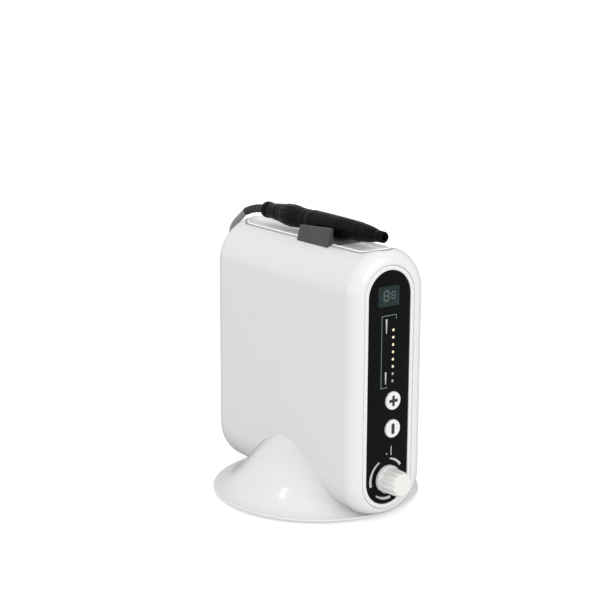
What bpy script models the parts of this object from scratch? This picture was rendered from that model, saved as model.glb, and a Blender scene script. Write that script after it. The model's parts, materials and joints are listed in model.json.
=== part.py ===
"""Tabletop ultrasonic scaler: a slim upright unit on a trumpet foot, with its handpiece on top.

Sizes are in millimetres and are turned into metres where a shape is made. The origin is the centre of
the foot's underside, -Y is the control panel's side and +Z is up.
"""

import math

import bmesh
import bpy
from mathutils import Matrix, Vector

MM = 0.001
GAP = 0.3  # clearance between neighbouring pieces

# Body sleeve: an upright stadium section carried from front to back
BODY_HALF_WIDTH = 32.4
BODY_FRONT = -81.7
BODY_BACK = 85.8
BODY_UNDERSIDE = 3.6
TOP_CENTRE = 159.0  # height of the upper arcs' centre
LOW_CENTRE = 30.4  # height of the lower arcs' centre at the front
HEEL_LIFT = 5.0  # how much higher that centre is at the back
RIM = 21.35  # half-width of the sleeve's openings
FRONT_SETBACK = 8.5  # depth of the rounding at the front and at the back
BACK_SETBACK = 12.0
WALL = 2.4
FILLET_STEPS = 3
ARC_STEPS = 12

# Front panel
PANEL_RADIUS = 17.85
PANEL_FRONT = -81.4
PANEL_THICKNESS = 2.0
PANEL_BACK = PANEL_FRONT + PANEL_THICKNESS
BOARD_FRONT = -72.0
BOARD_THICKNESS = 1.6
DISPLAY = (-0.6, 159.3)  # centre of the display, across and up
DISPLAY_SIZE = (18.0, 14.0)
LIGHT_X = 3.7
LIGHT_LOW = 99.7
LIGHT_PITCH = 5.11
LIGHT_COUNT = 8
BUTTON_X = 3.9
PLUS_Z = 85.9
MINUS_Z = 66.0
BUTTON_RADIUS = 6.4
KNOB_Z = 30.6
KNOB_RADIUS = 10.0
KNOB_FRONT = -98.7
KNOB_FLUTES = 12
KNOB_POINTER_ANGLE = 225.0  # degrees, from +X towards +Z

# Tray and handpiece
TRAY_HALF_WIDTH = 14.5
TRAY_FRONT = -77.0
TRAY_BACK = 79.0
TRAY_FLOOR = 187.2
TRAY_RIM = 1.9
TRAY_GAP = 0.5
HOLDER_HALF_WIDTH = 17.5
HOLDER_FRONT = -34.5
HOLDER_BACK = 0.5
HOLDER_LEAN = 0.25  # how far the cheeks lean in for each unit of height
HOLDER_TOP = 197.3
HOLDER_RISE = 2.3  # how much higher the cheeks are at the front
HOLDER_STRAP = 189.8
SCREW_SEAT = 188.2
HANDPIECE_Z = 198.0
NOSE_FRONT = -74.5
GROOVE_RADIUS = 8.0
HANDPIECE_BORE = 5.6

# Hose: it leaves the strain relief on a slant, hangs down and turns into the gland
HOSE_RADIUS = 2.5
HOSE_SLANT = 36.5  # degrees below level
RELIEF_RADIUS = 3.3
RELIEF_START = 57.8
RELIEF_STRAIGHT = 5.7
RELIEF_BEND = 70.0
RELIEF_SLANT = 22.0

# Foot
FOOT_RADIUS = 75.0
SKIRT_SHIFT = -6.0  # the trumpet's stem stands this far forward of the foot's centre
SKIRT_WALL = 2.4
SKIRT_STEPS = 40
PLATE_RADIUS = 64.0
PLATE_LOW = 1.5
PLATE_HIGH = 3.0
BASE_SCREWS = [(-7.0, -35.0), (7.0, -35.0), (-7.0, 45.0), (7.0, 45.0)]

# Back cover, with the height of everything it carries
BACK_CENTRE = LOW_CENTRE + HEEL_LIFT
RECESS = 2.8
BACK_OPENING = 15.5
COVER_RADIUS = RIM - GAP
COVER_FRONT = BODY_BACK - RECESS + GAP
COVER_SCREW_RADIUS = 18.4
ROCKER_Z = 140.0
SOCKET_Z = 112.0
POWER_Z = 84.0
GLAND_Z = 52.0
WATER_Z = 26.0
ROCKER_PIVOT = 85.2
ROCKER_TILT = -8.0

# Chassis and what it holds
CHASSIS_LOW = 9.3
CHASSIS_SHEET = 1.5
CHASSIS_HALF = 13.0
CHASSIS_TOP = 150.0
CHASSIS_FRONT = -40.0
CHASSIS_BACK = 52.0
BOARD_X = 17.0
STANDOFFS = [(-30.0, 48.0), (42.0, 48.0), (-30.0, 138.0), (42.0, 138.0)]
SOLENOID = (-10.0, -18.0)
PLUNGER_LOW = 98.3
PLUNGER_HIGH = 114.0

# Colour, roughness and metallic value of each finish
FINISHES = {
    "white": ((0.86, 0.86, 0.87), 0.18, 0.0),
    "warm_white": ((0.88, 0.87, 0.85), 0.25, 0.0),
    "black": ((0.012, 0.013, 0.014), 0.12, 0.0),
    "satin_black": ((0.02, 0.02, 0.022), 0.4, 0.0),
    "grey": ((0.13, 0.125, 0.12), 0.55, 0.0),
    "hose_grey": ((0.32, 0.33, 0.34), 0.5, 0.0),
    "display": ((0.03, 0.06, 0.055), 0.15, 0.0),
    "light": ((0.9, 0.8, 0.55), 0.3, 0.0),
    "rubber": ((0.03, 0.03, 0.03), 0.8, 0.0),
    "steel": ((0.6, 0.6, 0.62), 0.3, 1.0),
    "brass": ((0.72, 0.55, 0.26), 0.3, 1.0),
    "aluminium": ((0.75, 0.76, 0.78), 0.35, 1.0),
    "titanium": ((0.5, 0.48, 0.46), 0.35, 1.0),
    "board": ((0.03, 0.2, 0.09), 0.5, 0.0),
    "ceramic": ((0.8, 0.75, 0.65), 0.5, 0.0),
    "core": ((0.2, 0.18, 0.16), 0.6, 0.4),
    "tube": ((0.75, 0.8, 0.85), 0.3, 0.0),
}


def clear_scene():
    for item in list(bpy.data.objects):
        bpy.data.objects.remove(item, do_unlink=True)


def new_collection(name):
    collection = bpy.data.collections.new(name)
    bpy.context.scene.collection.children.link(collection)
    return collection


def new_material(name, finish):
    colour, roughness, metallic = FINISHES[finish]
    material = bpy.data.materials.new(name)
    material.use_nodes = True
    shader = material.node_tree.nodes["Principled BSDF"]
    shader.inputs["Base Color"].default_value = (*colour, 1.0)
    shader.inputs["Roughness"].default_value = roughness
    shader.inputs["Metallic"].default_value = metallic
    material.diffuse_color = (*colour, 1.0)
    return material


def place(name, data, finish):
    """Link a part, or a cutter where no finish is given."""
    thing = bpy.data.objects.new(name, data)
    if finish is None:
        CUTTERS.objects.link(thing)
        thing.hide_render = True
        thing.display_type = "WIRE"
    else:
        PARTS.objects.link(thing)
        data.materials.append(new_material(name + "_finish", finish))
    return thing


def from_bmesh(name, shape, finish, origin=(0, 0, 0)):
    """Make an object of a shape in millimetres, with its origin where it turns or slides."""
    bmesh.ops.recalc_face_normals(shape, faces=shape.faces)
    bmesh.ops.translate(shape, verts=shape.verts, vec=-Vector(origin))
    bmesh.ops.scale(shape, verts=shape.verts, vec=(MM, MM, MM))
    mesh = bpy.data.meshes.new(name)
    shape.to_mesh(mesh)
    shape.free()
    mesh.shade_smooth()
    mesh.set_sharp_from_angle(angle=math.radians(35))
    thing = place(name, mesh, finish)
    thing.location = Vector(origin) * MM
    return thing


def block(name, low, high, finish, bevel=0.0):
    shape = bmesh.new()
    bmesh.ops.create_cube(shape, size=1.0)
    size = Vector(high) - Vector(low)
    bmesh.ops.scale(shape, verts=shape.verts, vec=size)
    bmesh.ops.translate(shape, verts=shape.verts, vec=Vector(low) + size / 2)
    thing = from_bmesh(name, shape, finish)
    if bevel:
        rounding = thing.modifiers.new("rounding", "BEVEL")
        rounding.width = bevel * MM
        rounding.segments = 2
    return thing


def add_rod(shape, radius, start, end, sides=20):
    """Put one capped cylinder between two points into a shape."""
    start, end = Vector(start), Vector(end)
    turn = (end - start).to_track_quat("Z", "Y").to_matrix().to_4x4()
    matrix = Matrix.Translation((start + end) / 2) @ turn
    bmesh.ops.create_cone(
        shape, cap_ends=True, segments=sides, radius1=radius, radius2=radius,
        depth=(end - start).length, matrix=matrix,
    )


def rods(name, radius, spans, finish=None, sides=20):
    shape = bmesh.new()
    for start, end in spans:
        add_rod(shape, radius, start, end, sides)
    return from_bmesh(name, shape, finish)


def loft(name, loops, finish, closed=False, origin=(0, 0, 0)):
    """Skin a row of loops that have the same number of points; closed joins the last to the first."""
    shape = bmesh.new()
    rows = [[shape.verts.new(point) for point in loop] for loop in loops]
    pairs = list(zip(rows, rows[1:]))
    if closed:
        pairs.append((rows[-1], rows[0]))
    else:
        shape.faces.new(rows[0])
        shape.faces.new(rows[-1])
    for one, two in pairs:
        count = len(one)
        for i in range(count):
            j = (i + 1) % count
            shape.faces.new((one[i], one[j], two[j], two[i]))
    return from_bmesh(name, shape, finish, origin)


def turned(name, profile, finish, centre, along="Y", ring=False, steps=14):
    """Spin a profile of (radius, position) about an axis along Y or Z through centre.

    The profile runs down the outer side: front to back along Y, and top to bottom along Z.
    """
    centre = Vector(centre)
    mesh = bpy.data.meshes.new(name)
    if along == "Y":
        points = [(radius * MM, 0, (centre.y - position) * MM) for radius, position in profile]
    else:
        points = [(radius * MM, 0, (position - centre.z) * MM) for radius, position in profile]
    edges = [(i, i + 1) for i in range(len(points) - 1)]
    if ring:
        edges.append((len(points) - 1, 0))
    mesh.from_pydata(points, edges, [])
    thing = place(name, mesh, finish)
    thing.location = centre * MM
    if along == "Y":
        thing.rotation_euler = (math.radians(90), 0, 0)
    spin = thing.modifiers.new("spin", "SCREW")
    spin.steps = steps
    spin.render_steps = steps
    spin.use_merge_vertices = True
    spin.merge_threshold = 0.00001
    spin.use_smooth_shade = True
    return thing


def to_mesh_object(thing, finish):
    """Swap a curve for a mesh with welded caps, so that it can be cut."""
    graph = bpy.context.evaluated_depsgraph_get()
    mesh = bpy.data.meshes.new_from_object(thing.evaluated_get(graph))
    shape = bmesh.new()
    shape.from_mesh(mesh)
    bmesh.ops.remove_doubles(shape, verts=shape.verts, dist=0.00001)
    shape.to_mesh(mesh)
    shape.free()
    name = thing.name
    matrix = thing.matrix_world.copy()
    bpy.data.objects.remove(thing, do_unlink=True)
    mesh.materials.clear()
    made = place(name, mesh, finish)
    made.name = name
    made.matrix_world = matrix
    return made


def flat(name, outline, low, high, finish, plane="XY"):
    """Give a flat outline a thickness from low to high, measured across its plane."""
    curve = bpy.data.curves.new(name, "CURVE")
    curve.dimensions = "2D"
    curve.fill_mode = "BOTH"
    curve.extrude = (high - low) / 2 * MM
    spline = curve.splines.new("POLY")
    spline.points.add(len(outline) - 1)
    for point, (u, v) in zip(spline.points, outline):
        point.co = (u * MM, v * MM, 0, 1)
    spline.use_cyclic_u = True
    thing = bpy.data.objects.new(name, curve)
    PARTS.objects.link(thing)
    middle = (low + high) / 2 * MM
    if plane == "XY":
        thing.matrix_world = Matrix.Translation((0, 0, middle))
    elif plane == "XZ":
        thing.matrix_world = Matrix.Translation((0, middle, 0)) @ Matrix.Rotation(math.pi / 2, 4, "X")
    else:
        turn = Matrix(((0, 0, 1, 0), (1, 0, 0, 0), (0, 1, 0, 0), (0, 0, 0, 1)))
        thing.matrix_world = Matrix.Translation((middle, 0, 0)) @ turn
    bpy.context.view_layer.update()
    return to_mesh_object(thing, finish)


def tube(name, points, radius, finish, smooth=True, bevel_resolution=2):
    """A round cable or pipe along points, smoothed between them or taken as they are."""
    curve = bpy.data.curves.new(name, "CURVE")
    curve.dimensions = "3D"
    curve.bevel_depth = radius * MM
    curve.bevel_resolution = bevel_resolution
    curve.use_fill_caps = True
    curve.resolution_u = 2
    if smooth:
        spline = curve.splines.new("BEZIER")
        spline.bezier_points.add(len(points) - 1)
        for knot, point in zip(spline.bezier_points, points):
            knot.co = Vector(point) * MM
            knot.handle_left_type = "AUTO"
            knot.handle_right_type = "AUTO"
    else:
        spline = curve.splines.new("POLY")
        spline.points.add(len(points) - 1)
        for knot, point in zip(spline.points, points):
            knot.co = (*(Vector(point) * MM), 1)
    return place(name, curve, finish)


def boolean(thing, tool, operation="DIFFERENCE"):
    change = thing.modifiers.new(operation.lower(), "BOOLEAN")
    change.operation = operation
    change.solver = "EXACT"
    change.object = tool


def stadium(half, depth, low_centre, y, power=2.0):
    """An upright loop: a half circle on top, straight sides, and a lower arc of its own depth."""
    loop = []
    for step in range(ARC_STEPS + 1):
        angle = math.pi * step / ARC_STEPS
        loop.append(Vector((half * math.cos(angle), y, TOP_CENTRE + half * math.sin(angle))))
    for step in range(ARC_STEPS + 1):
        angle = math.pi * step / ARC_STEPS
        across = math.copysign(abs(math.cos(angle)) ** (2 / power), -math.cos(angle))
        down = abs(math.sin(angle)) ** (2 / power)
        loop.append(Vector((half * across, y, low_centre - depth * down)))
    return loop


def body_loop(fullness, y, offset=0.0, rim=RIM):
    """The body's section at y: fullness is 0 at an opening's rim and 1 where the body is full width."""
    run = (y - BODY_FRONT) / (BODY_BACK - BODY_FRONT)
    low_centre = LOW_CENTRE + HEEL_LIFT * max(run, 0) ** 2
    half = rim + fullness * (BODY_HALF_WIDTH + offset - rim)
    depth = rim + fullness * (low_centre - BODY_UNDERSIDE + offset - rim)
    return stadium(half, depth, low_centre, y, 2 + 0.2 * fullness * (1 - run))


def body_loops(offset=0.0, rim=RIM):
    """The body's sections from the front opening to the back one, moved out or in by offset."""
    turns = [math.radians(90) * step / FILLET_STEPS for step in range(FILLET_STEPS + 1)]
    front = BODY_FRONT - offset
    back = BODY_BACK + offset
    ahead = [(math.sin(turn), front + (FRONT_SETBACK + offset) * (1 - math.cos(turn))) for turn in turns]
    behind = [(math.sin(turn), back - (BACK_SETBACK + offset) * (1 - math.cos(turn))) for turn in turns]
    return [body_loop(fullness, y, offset, rim) for fullness, y in ahead + behind[::-1]]


def round_loop(radius, y, low_centre=LOW_CENTRE):
    return stadium(radius, radius, low_centre, y)


def plan_stadium(half, front, back):
    """A flat stadium seen from above, long way along Y."""
    outline = []
    for centre, start in ((back - half, 0), (front + half, 180)):
        for step in range(13):
            angle = math.radians(start + 15 * step)
            outline.append((half * math.cos(angle), centre + half * math.sin(angle)))
    return outline


# ---- foot ----

def skirt_line():
    """The trumpet's outer line as (radius, height), from the rim up to the body."""
    line = [(74.5, 0.5), (FOOT_RADIUS, 1.6), (74.4, 2.7)]
    line += [(70.0, 3.8), (64.0, 7.0), (59.0, 13.4), (54.4, 21.0), (47.5, 30.0), (41.0, 37.5)]
    line += [(36.0, 42.5), (32.5, 46.5), (30.5, 49.0)]
    return line


def skirt_loop(radius, height):
    """One level ring of the trumpet; the stem stands forward and the foot is centred."""
    climb = min(max((height - 3) / 20, 0), 1)
    centre = SKIRT_SHIFT * climb * climb * (3 - 2 * climb)
    turns = [math.tau * step / SKIRT_STEPS for step in range(SKIRT_STEPS)]
    return [Vector((radius * math.cos(turn), centre + radius * math.sin(turn), height)) for turn in turns]


def base_skirt():
    outer = skirt_line()
    inner = []
    for before, here, after in list(zip(outer, outer[1:], outer[2:]))[3:]:
        along = Vector((after[0] - before[0], after[1] - before[1])).normalized()
        inner.append((here[0] - along.y * SKIRT_WALL, here[1] + along.x * SKIRT_WALL))
    inner.append((outer[-1][0] - SKIRT_WALL, outer[-1][1]))
    inner.insert(0, (67.0, 0.5))
    loops = [skirt_loop(*point) for point in outer + inner[::-1]]
    skirt = loft("base_skirt", loops, "white", closed=True)
    boolean(skirt, loft("body_clearance", body_loops(GAP, RIM + GAP), None))


def base_plate():
    profile = [(0, PLATE_HIGH), (PLATE_RADIUS, PLATE_HIGH), (PLATE_RADIUS, PLATE_LOW), (0, PLATE_LOW)]
    plate = turned("base_plate", profile, "steel", (0, 0, PLATE_LOW), "Z", steps=30)
    for x, y in BASE_SCREWS:
        sink = [(0, 3.4), (1.8 + GAP, 3.4), (1.8 + GAP, 3.2), (3.9, PLATE_LOW), (3.9, 1.0), (0, 1.0)]
        boolean(plate, turned("screw_sink", sink, None, (x, y, PLATE_LOW), "Z", steps=12))


def base_screws():
    """Countersunk screws that hold the body to the foot, with a socket in the head."""
    for number, (x, y) in enumerate(BASE_SCREWS, 1):
        profile = [(0, 13.5), (1.5, 13.5), (1.8, 13.0), (1.8, 3.1), (3.4, 1.6), (1.0, 1.6), (1.0, 3.0), (0, 3.0)]
        turned(f"base_screw_{number}", profile, "steel", (x, y, PLATE_LOW), "Z", steps=8)


def foot_pad():
    """A non-slip disc that covers the plate, with a groove inside its rim."""
    profile = [(0, 1.2), (63.4, 1.2), (64.0, 0.9), (64.3, 0.0), (57.0, 0.0), (56.7, 0.5)]
    profile += [(54.3, 0.5), (54.0, 0.0), (0, 0)]
    turned("foot_pad", profile, "rubber", (0, 0, 0), "Z", steps=30)


# ---- body ----

def main_housing():
    """One moulded sleeve: outer skin, back recess for the cover, then the inner skin forward again."""
    loops = body_loops()
    recess = BODY_BACK - RECESS
    loops.append(round_loop(RIM, recess, BACK_CENTRE))
    loops.append(round_loop(BACK_OPENING, recess, BACK_CENTRE))
    loops.append(round_loop(BACK_OPENING, recess - WALL, BACK_CENTRE))
    loops.append(round_loop(RIM + WALL, recess - WALL, BACK_CENTRE))
    inner = body_loops(-WALL, RIM)
    loops += inner[1:-1][::-1] + inner[:1]
    housing = loft("main_housing", loops, "white", closed=True)
    outline = plan_stadium(TRAY_HALF_WIDTH, TRAY_FRONT, TRAY_BACK)
    boolean(housing, flat("tray_opening", outline, 178.0, 200.0, None))
    bosses = [((x, y, 5.0), (x, y, CHASSIS_LOW - GAP)) for x, y in BASE_SCREWS]
    boolean(housing, rods("bosses", 3.8, bosses), "UNION")
    spans = [((x, y, 0.0), (x, y, 12.0)) for x, y in BASE_SCREWS]
    boolean(housing, rods("base_screw_holes", 1.8 + GAP, spans, sides=12))
    spans = [((x, recess - 6, z), (x, BODY_BACK + 2, z)) for x, z in cover_screws()]
    boolean(housing, rods("cover_screw_holes", 1.2 + GAP, spans, sides=12))


def front_bezel():
    """The flat rim round the panel, a seat for the panel, and a collar back to the control board."""
    outer = RIM - GAP
    seat = PANEL_BACK + GAP
    lip = BODY_FRONT + WALL + GAP
    section = [(outer - 0.35, BODY_FRONT), (outer, BODY_FRONT + 0.35), (outer, lip), (RIM + 0.5, lip)]
    section += [(RIM + 0.5, -77.5), (17.9, -77.5), (17.9, BOARD_FRONT - GAP), (16.2, BOARD_FRONT - GAP)]
    section += [(16.2, seat), (PANEL_RADIUS + GAP, seat), (PANEL_RADIUS + GAP, BODY_FRONT + 0.25)]
    section += [(PANEL_RADIUS + GAP + 0.25, BODY_FRONT)]
    loft("front_bezel", [round_loop(*point) for point in section], "warm_white", closed=True)


def control_panel():
    loops = [round_loop(PANEL_RADIUS, PANEL_FRONT), round_loop(PANEL_RADIUS, PANEL_BACK)]
    panel = loft("control_panel", loops, "black")
    x, z = DISPLAY
    wide, high = DISPLAY_SIZE
    low = (x - wide / 2 - GAP, PANEL_FRONT - 1, z - high / 2 - GAP)
    top = (x + wide / 2 + GAP, PANEL_BACK + 1, z + high / 2 + GAP)
    boolean(panel, block("display_opening", low, top, None))
    holes = [((BUTTON_X, -84, z), (BUTTON_X, -78, z)) for z in (PLUS_Z, MINUS_Z)]
    boolean(panel, rods("button_holes", BUTTON_RADIUS + GAP, holes, sides=20))
    boolean(panel, rods("valve_hole", 4.2, [((0, -84, KNOB_Z), (0, -78, KNOB_Z))]))
    holes = [((LIGHT_X, -84, z), (LIGHT_X, -78, z)) for z in light_heights()]
    boolean(panel, rods("light_holes", 1.3, holes, sides=8))


def display_window():
    x, z = DISPLAY
    wide, high = DISPLAY_SIZE
    low = (x - wide / 2, PANEL_FRONT + 0.1, z - high / 2)
    top = (x + wide / 2, PANEL_BACK - 0.1, z + high / 2)
    block("display_window", low, top, "display")


def display_module():
    x, z = DISPLAY
    low = (x - 9.0, PANEL_BACK + 0.6, z - 8.0)
    top = (x + 9.0, BOARD_FRONT - GAP, z + 8.0)
    block("display_module", low, top, "satin_black", bevel=0.5)


def light_heights():
    return [LIGHT_LOW + LIGHT_PITCH * number for number in range(LIGHT_COUNT)]


def light_pipe():
    """A clear comb whose teeth carry the lights through the panel."""
    heights = light_heights()
    low = (LIGHT_X - 1.7, PANEL_BACK + GAP, heights[0] - 2.5)
    top = (LIGHT_X + 1.7, PANEL_BACK + 1.8, heights[-1] + 2.5)
    comb = block("light_pipe", low, top, "light")
    spans = [((LIGHT_X, PANEL_FRONT + 0.1, z), (LIGHT_X, PANEL_BACK + 1, z)) for z in heights]
    boolean(comb, rods("light_teeth", 1.0, spans, sides=8), "UNION")


def light_bar():
    heights = light_heights()
    low = (LIGHT_X - 2.5, PANEL_BACK + 2.1, heights[0] - 3)
    top = (LIGHT_X + 2.5, BOARD_FRONT - GAP, heights[-1] + 3)
    block("light_bar", low, top, "ceramic", bevel=0.4)


def key_button(name, z):
    """A round cap that stands proud of the panel, with a flange behind it and a stem to its switch."""
    flange = PANEL_BACK + GAP
    profile = [(0, -82.6), (5.7, -82.6), (BUTTON_RADIUS, -82.1), (BUTTON_RADIUS, flange), (7.3, flange)]
    profile += [(7.3, flange + 0.8), (2.0, flange + 0.8), (2.0, -77.1), (0, -77.1)]
    turned(name, profile, "warm_white", (BUTTON_X, -82.6, z), steps=20)


def key_switch(name, z):
    """A square tact switch on the control board, with its round actuator."""
    low = (BUTTON_X - 3, -75.4, z - 3)
    top = (BUTTON_X + 3, BOARD_FRONT - GAP, z + 3)
    switch = block(name, low, top, "satin_black")
    spans = [((BUTTON_X, -76.2, z), (BUTTON_X, -74.0, z))]
    boolean(switch, rods(name + "_actuator", 1.7, spans, sides=12), "UNION")


def control_board():
    radius = 18.4
    low_centre = 46.0 + radius
    back = BOARD_FRONT + BOARD_THICKNESS
    loops = [round_loop(radius, BOARD_FRONT, low_centre), round_loop(radius, back, low_centre)]
    loft("control_board", loops, "board")


# ---- water knob and its needle valve ----

def knob_loop(radius, y, flute=0.0):
    loop = []
    for step in range(3 * KNOB_FLUTES):
        angle = math.tau * step / (3 * KNOB_FLUTES)
        reach = radius - flute * (0.5 + 0.5 * math.cos(KNOB_FLUTES * angle))
        loop.append(Vector((reach * math.cos(angle), y, KNOB_Z + reach * math.sin(angle))))
    return loop


def water_knob():
    """A skirted, fluted knob, hollow behind for the valve's nut and bored for its spindle."""
    skirt = PANEL_FRONT - 0.6
    loops = [knob_loop(2.3, -95.3), knob_loop(2.3, -84.9), knob_loop(8.2, -84.9), knob_loop(8.2, skirt)]
    loops += [knob_loop(KNOB_RADIUS, skirt), knob_loop(KNOB_RADIUS, -84.2), knob_loop(9.6, -85.0)]
    loops += [knob_loop(9.4, -85.6, 0.9), knob_loop(8.9, -97.0, 0.8), knob_loop(7.7, KNOB_FRONT, 0.3)]
    knob = loft("water_knob", loops, "warm_white", origin=(0, BODY_FRONT, KNOB_Z))
    angle = math.radians(KNOB_POINTER_ANGLE)
    out = Vector((math.cos(angle), 0, math.sin(angle)))
    start = Vector((0, -87.0, KNOB_Z)) + out * 10.4
    end = Vector((0, -81.0, KNOB_Z)) + out * 10.4
    boolean(knob, rods("pointer_notch", 0.9, [(start, end)], sides=8))


def valve_spindle():
    profile = [(0, -95.0), (2.0, -95.0), (2.0, -69.0), (0.5, -66.6), (0, -66.6)]
    turned("valve_spindle", profile, "steel", (0, BODY_FRONT, KNOB_Z), steps=16)


def valve_body():
    """A threaded neck through the panel, a shoulder behind it, and a barb for the water tube."""
    shoulder = PANEL_BACK + GAP
    profile = [(0, -66.0), (2.3, -68.5), (2.3, -84.4), (3.9, -84.4), (3.9, shoulder), (8.5, shoulder)]
    profile += [(8.5, -70.0), (6.0, -69.0), (6.0, -64.0), (1.7, -64.0), (2.1, -62.5), (1.5, -59.8), (0, -59.8)]
    turned("valve_body", profile, "brass", (0, BODY_FRONT, KNOB_Z))


def valve_nut():
    span = [((0, PANEL_FRONT - 2.3, KNOB_Z), (0, PANEL_FRONT - GAP, KNOB_Z))]
    nut = rods("valve_nut", 7.2, span, "steel", sides=6)
    hole = [((0, -86, KNOB_Z), (0, -80, KNOB_Z))]
    boolean(nut, rods("nut_hole", 3.9 + GAP, hole))


# ---- top tray and holder ----

def top_tray():
    """A long shallow pan whose rim follows the body's crest."""
    outline = plan_stadium(TRAY_HALF_WIDTH - TRAY_GAP, TRAY_FRONT + TRAY_GAP, TRAY_BACK - TRAY_GAP)
    tray = flat("top_tray", outline, TRAY_FLOOR - 2, 196.0, "white")
    boolean(tray, loft("tray_crest", body_loops(), None), "INTERSECT")
    inset = TRAY_GAP + TRAY_RIM
    outline = plan_stadium(TRAY_HALF_WIDTH - inset, TRAY_FRONT + inset, TRAY_BACK - inset)
    boolean(tray, flat("tray_pocket", outline, TRAY_FLOOR, 200.0, None))
    boolean(tray, rods("tray_screw_holes", 1.2 + GAP, holder_screw_spans(170, 200), sides=12))


def crest_height(x):
    return TOP_CENTRE + math.sqrt((BODY_HALF_WIDTH + GAP) ** 2 - x * x)


def mirrored(half):
    """A closed outline from its right half, which runs from the bottom up and back down inside."""
    return half + [(-x, z) for x, z in reversed(half)]


def holder_section():
    """The clip's outline: a strap in the tray and cheeks that lean in over its rims."""
    foot = TRAY_HALF_WIDTH - TRAY_GAP - TRAY_RIM - GAP
    edge = [foot + (HOLDER_HALF_WIDTH - foot) * step / 4 for step in range(5)]
    half = [(foot, TRAY_FLOOR + GAP)] + [(x, crest_height(x)) for x in edge]
    top = HOLDER_TOP + 4
    outside = HOLDER_HALF_WIDTH - HOLDER_LEAN * (top - crest_height(HOLDER_HALF_WIDTH))
    half += [(outside, top), (outside - 2, top), (12.4, 193.8), (11.6, 191.6), (9.6, 190.2)]
    half.append((7.5, HOLDER_STRAP))
    return mirrored(half)


def holder_cradle():
    """The block between the cheeks, with a round groove that the handpiece lies in."""
    top = HANDPIECE_Z - 3
    reach = math.asin((HANDPIECE_Z - top) / GROOVE_RADIUS)
    half = [(10.0, 189.0), (13.2, 191.0), (13.2, top)]
    for step in range(7):
        angle = -reach - (math.pi / 2 - reach) * step / 6
        half.append((GROOVE_RADIUS * math.cos(angle), HANDPIECE_Z + GROOVE_RADIUS * math.sin(angle)))
    half[-1] = (0.0, HANDPIECE_Z - GROOVE_RADIUS)
    outline = half + [(-x, z) for x, z in reversed(half[:-1])]
    return flat("holder_cradle", outline, -25.5, -10.0, None, plane="XZ")


def above_cheeks():
    """What is cut away above the cheeks' slanted tops."""
    rise = HOLDER_RISE / (HOLDER_BACK - HOLDER_FRONT)
    front, back = HOLDER_FRONT - 2, HOLDER_BACK + 2
    low, high = HOLDER_TOP - 2 * rise, HOLDER_TOP + HOLDER_RISE + 2 * rise
    side = [(front, high), (back, low), (back, 210.0), (front, 210.0)]
    loops = [[Vector((x, y, z)) for y, z in side] for x in (-20.0, 20.0)]
    return loft("above_cheeks", loops, None)


def handpiece_holder():
    """A soft clip whose cheeks rise towards the front."""
    holder = flat("handpiece_holder", holder_section(), HOLDER_FRONT, HOLDER_BACK, "grey", plane="XZ")
    boolean(holder, above_cheeks())
    boolean(holder, holder_cradle(), "UNION")
    boolean(holder, rods("holder_screw_holes", 1.2 + GAP, holder_screw_spans(180, 195), sides=12))
    boolean(holder, rods("holder_screw_seats", 2.9, holder_screw_spans(SCREW_SEAT, 195), sides=16))


def holder_screw_spans(low, high):
    return [((0, y, low), (0, y, high)) for y in (-30.0, -5.0)]


def holder_screws():
    head = SCREW_SEAT + GAP
    for number, (_, high) in enumerate(holder_screw_spans(179.0, head), 1):
        profile = [(0, head + 0.7), (1.2, head + 0.7), (1.2, head + 1.3), (2.2, head + 1.3), (2.5, head + 0.9)]
        profile += [(2.5, head), (1.2, head), (1.2, 179.8), (0.4, 179.0), (0, 179.0)]
        turned(f"holder_screw_{number}", profile, "steel", high, "Z", steps=8)


# ---- handpiece ----

def nose_cap():
    profile = [(3.4, NOSE_FRONT), (3.9, NOSE_FRONT + 0.7), (4.1, -66.3), (2.2, -66.3), (2.2, NOSE_FRONT)]
    turned("nose_cap", profile, "satin_black", (0, NOSE_FRONT, HANDPIECE_Z), ring=True)


def nose_cone():
    profile = [(4.4, -66.0), (5.3, -61.0), (5.9, -57.0), (6.4, -52.0), (6.4, -50.0), (3.5, -50.0), (3.5, -66.0)]
    turned("nose_cone", profile, "satin_black", (0, -66.0, HANDPIECE_Z), ring=True)


def grip_sleeve():
    profile = [(6.7, -49.7), (6.9, -44.0), (7.2, -34.0), (7.6, -21.0), (7.7, -8.0), (7.7, 4.2)]
    profile += [(HANDPIECE_BORE, 4.2), (HANDPIECE_BORE, -49.7)]
    turned("grip_sleeve", profile, "satin_black", (0, -49.7, HANDPIECE_Z), ring=True)


def tail_sleeve():
    profile = [(7.3, 4.5), (7.3, 11.0), (7.0, 15.0), (HANDPIECE_BORE, 15.0), (HANDPIECE_BORE, 4.5)]
    turned("tail_sleeve", profile, "satin_black", (0, 4.5, HANDPIECE_Z), ring=True)


def piezo_horn():
    """Front horn: a threaded stud for the tip, a slim neck and a flange against the stack."""
    profile = [(0, -70.0), (1.5, -70.0), (1.5, -65.0), (3.1, -64.0), (3.1, -50.0), (5.2, -48.5)]
    profile += [(5.2, -36.0), (0, -36.0)]
    turned("piezo_horn", profile, "titanium", (0, -70.0, HANDPIECE_Z), steps=16)


def piezo_stack():
    """Four ceramic discs with an electrode standing out between each pair."""
    profile = []
    for disc in range(4):
        front = -35.7 + 4.7 * disc
        profile += [(5.2, front), (5.2, front + 0.4), (4.9, front + 0.5), (4.9, front + 4.3)]
    profile += [(1.7, -17.3), (1.7, -35.7)]
    turned("piezo_stack", profile, "ceramic", (0, -35.7, HANDPIECE_Z), ring=True, steps=10)


def back_mass():
    profile = [(0, -35.7), (1.4, -35.7), (1.4, -17.0), (5.2, -17.0), (5.2, -4.0), (4.0, -2.5), (0, -2.5)]
    turned("back_mass", profile, "steel", (0, -35.7, HANDPIECE_Z), steps=14)


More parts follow.
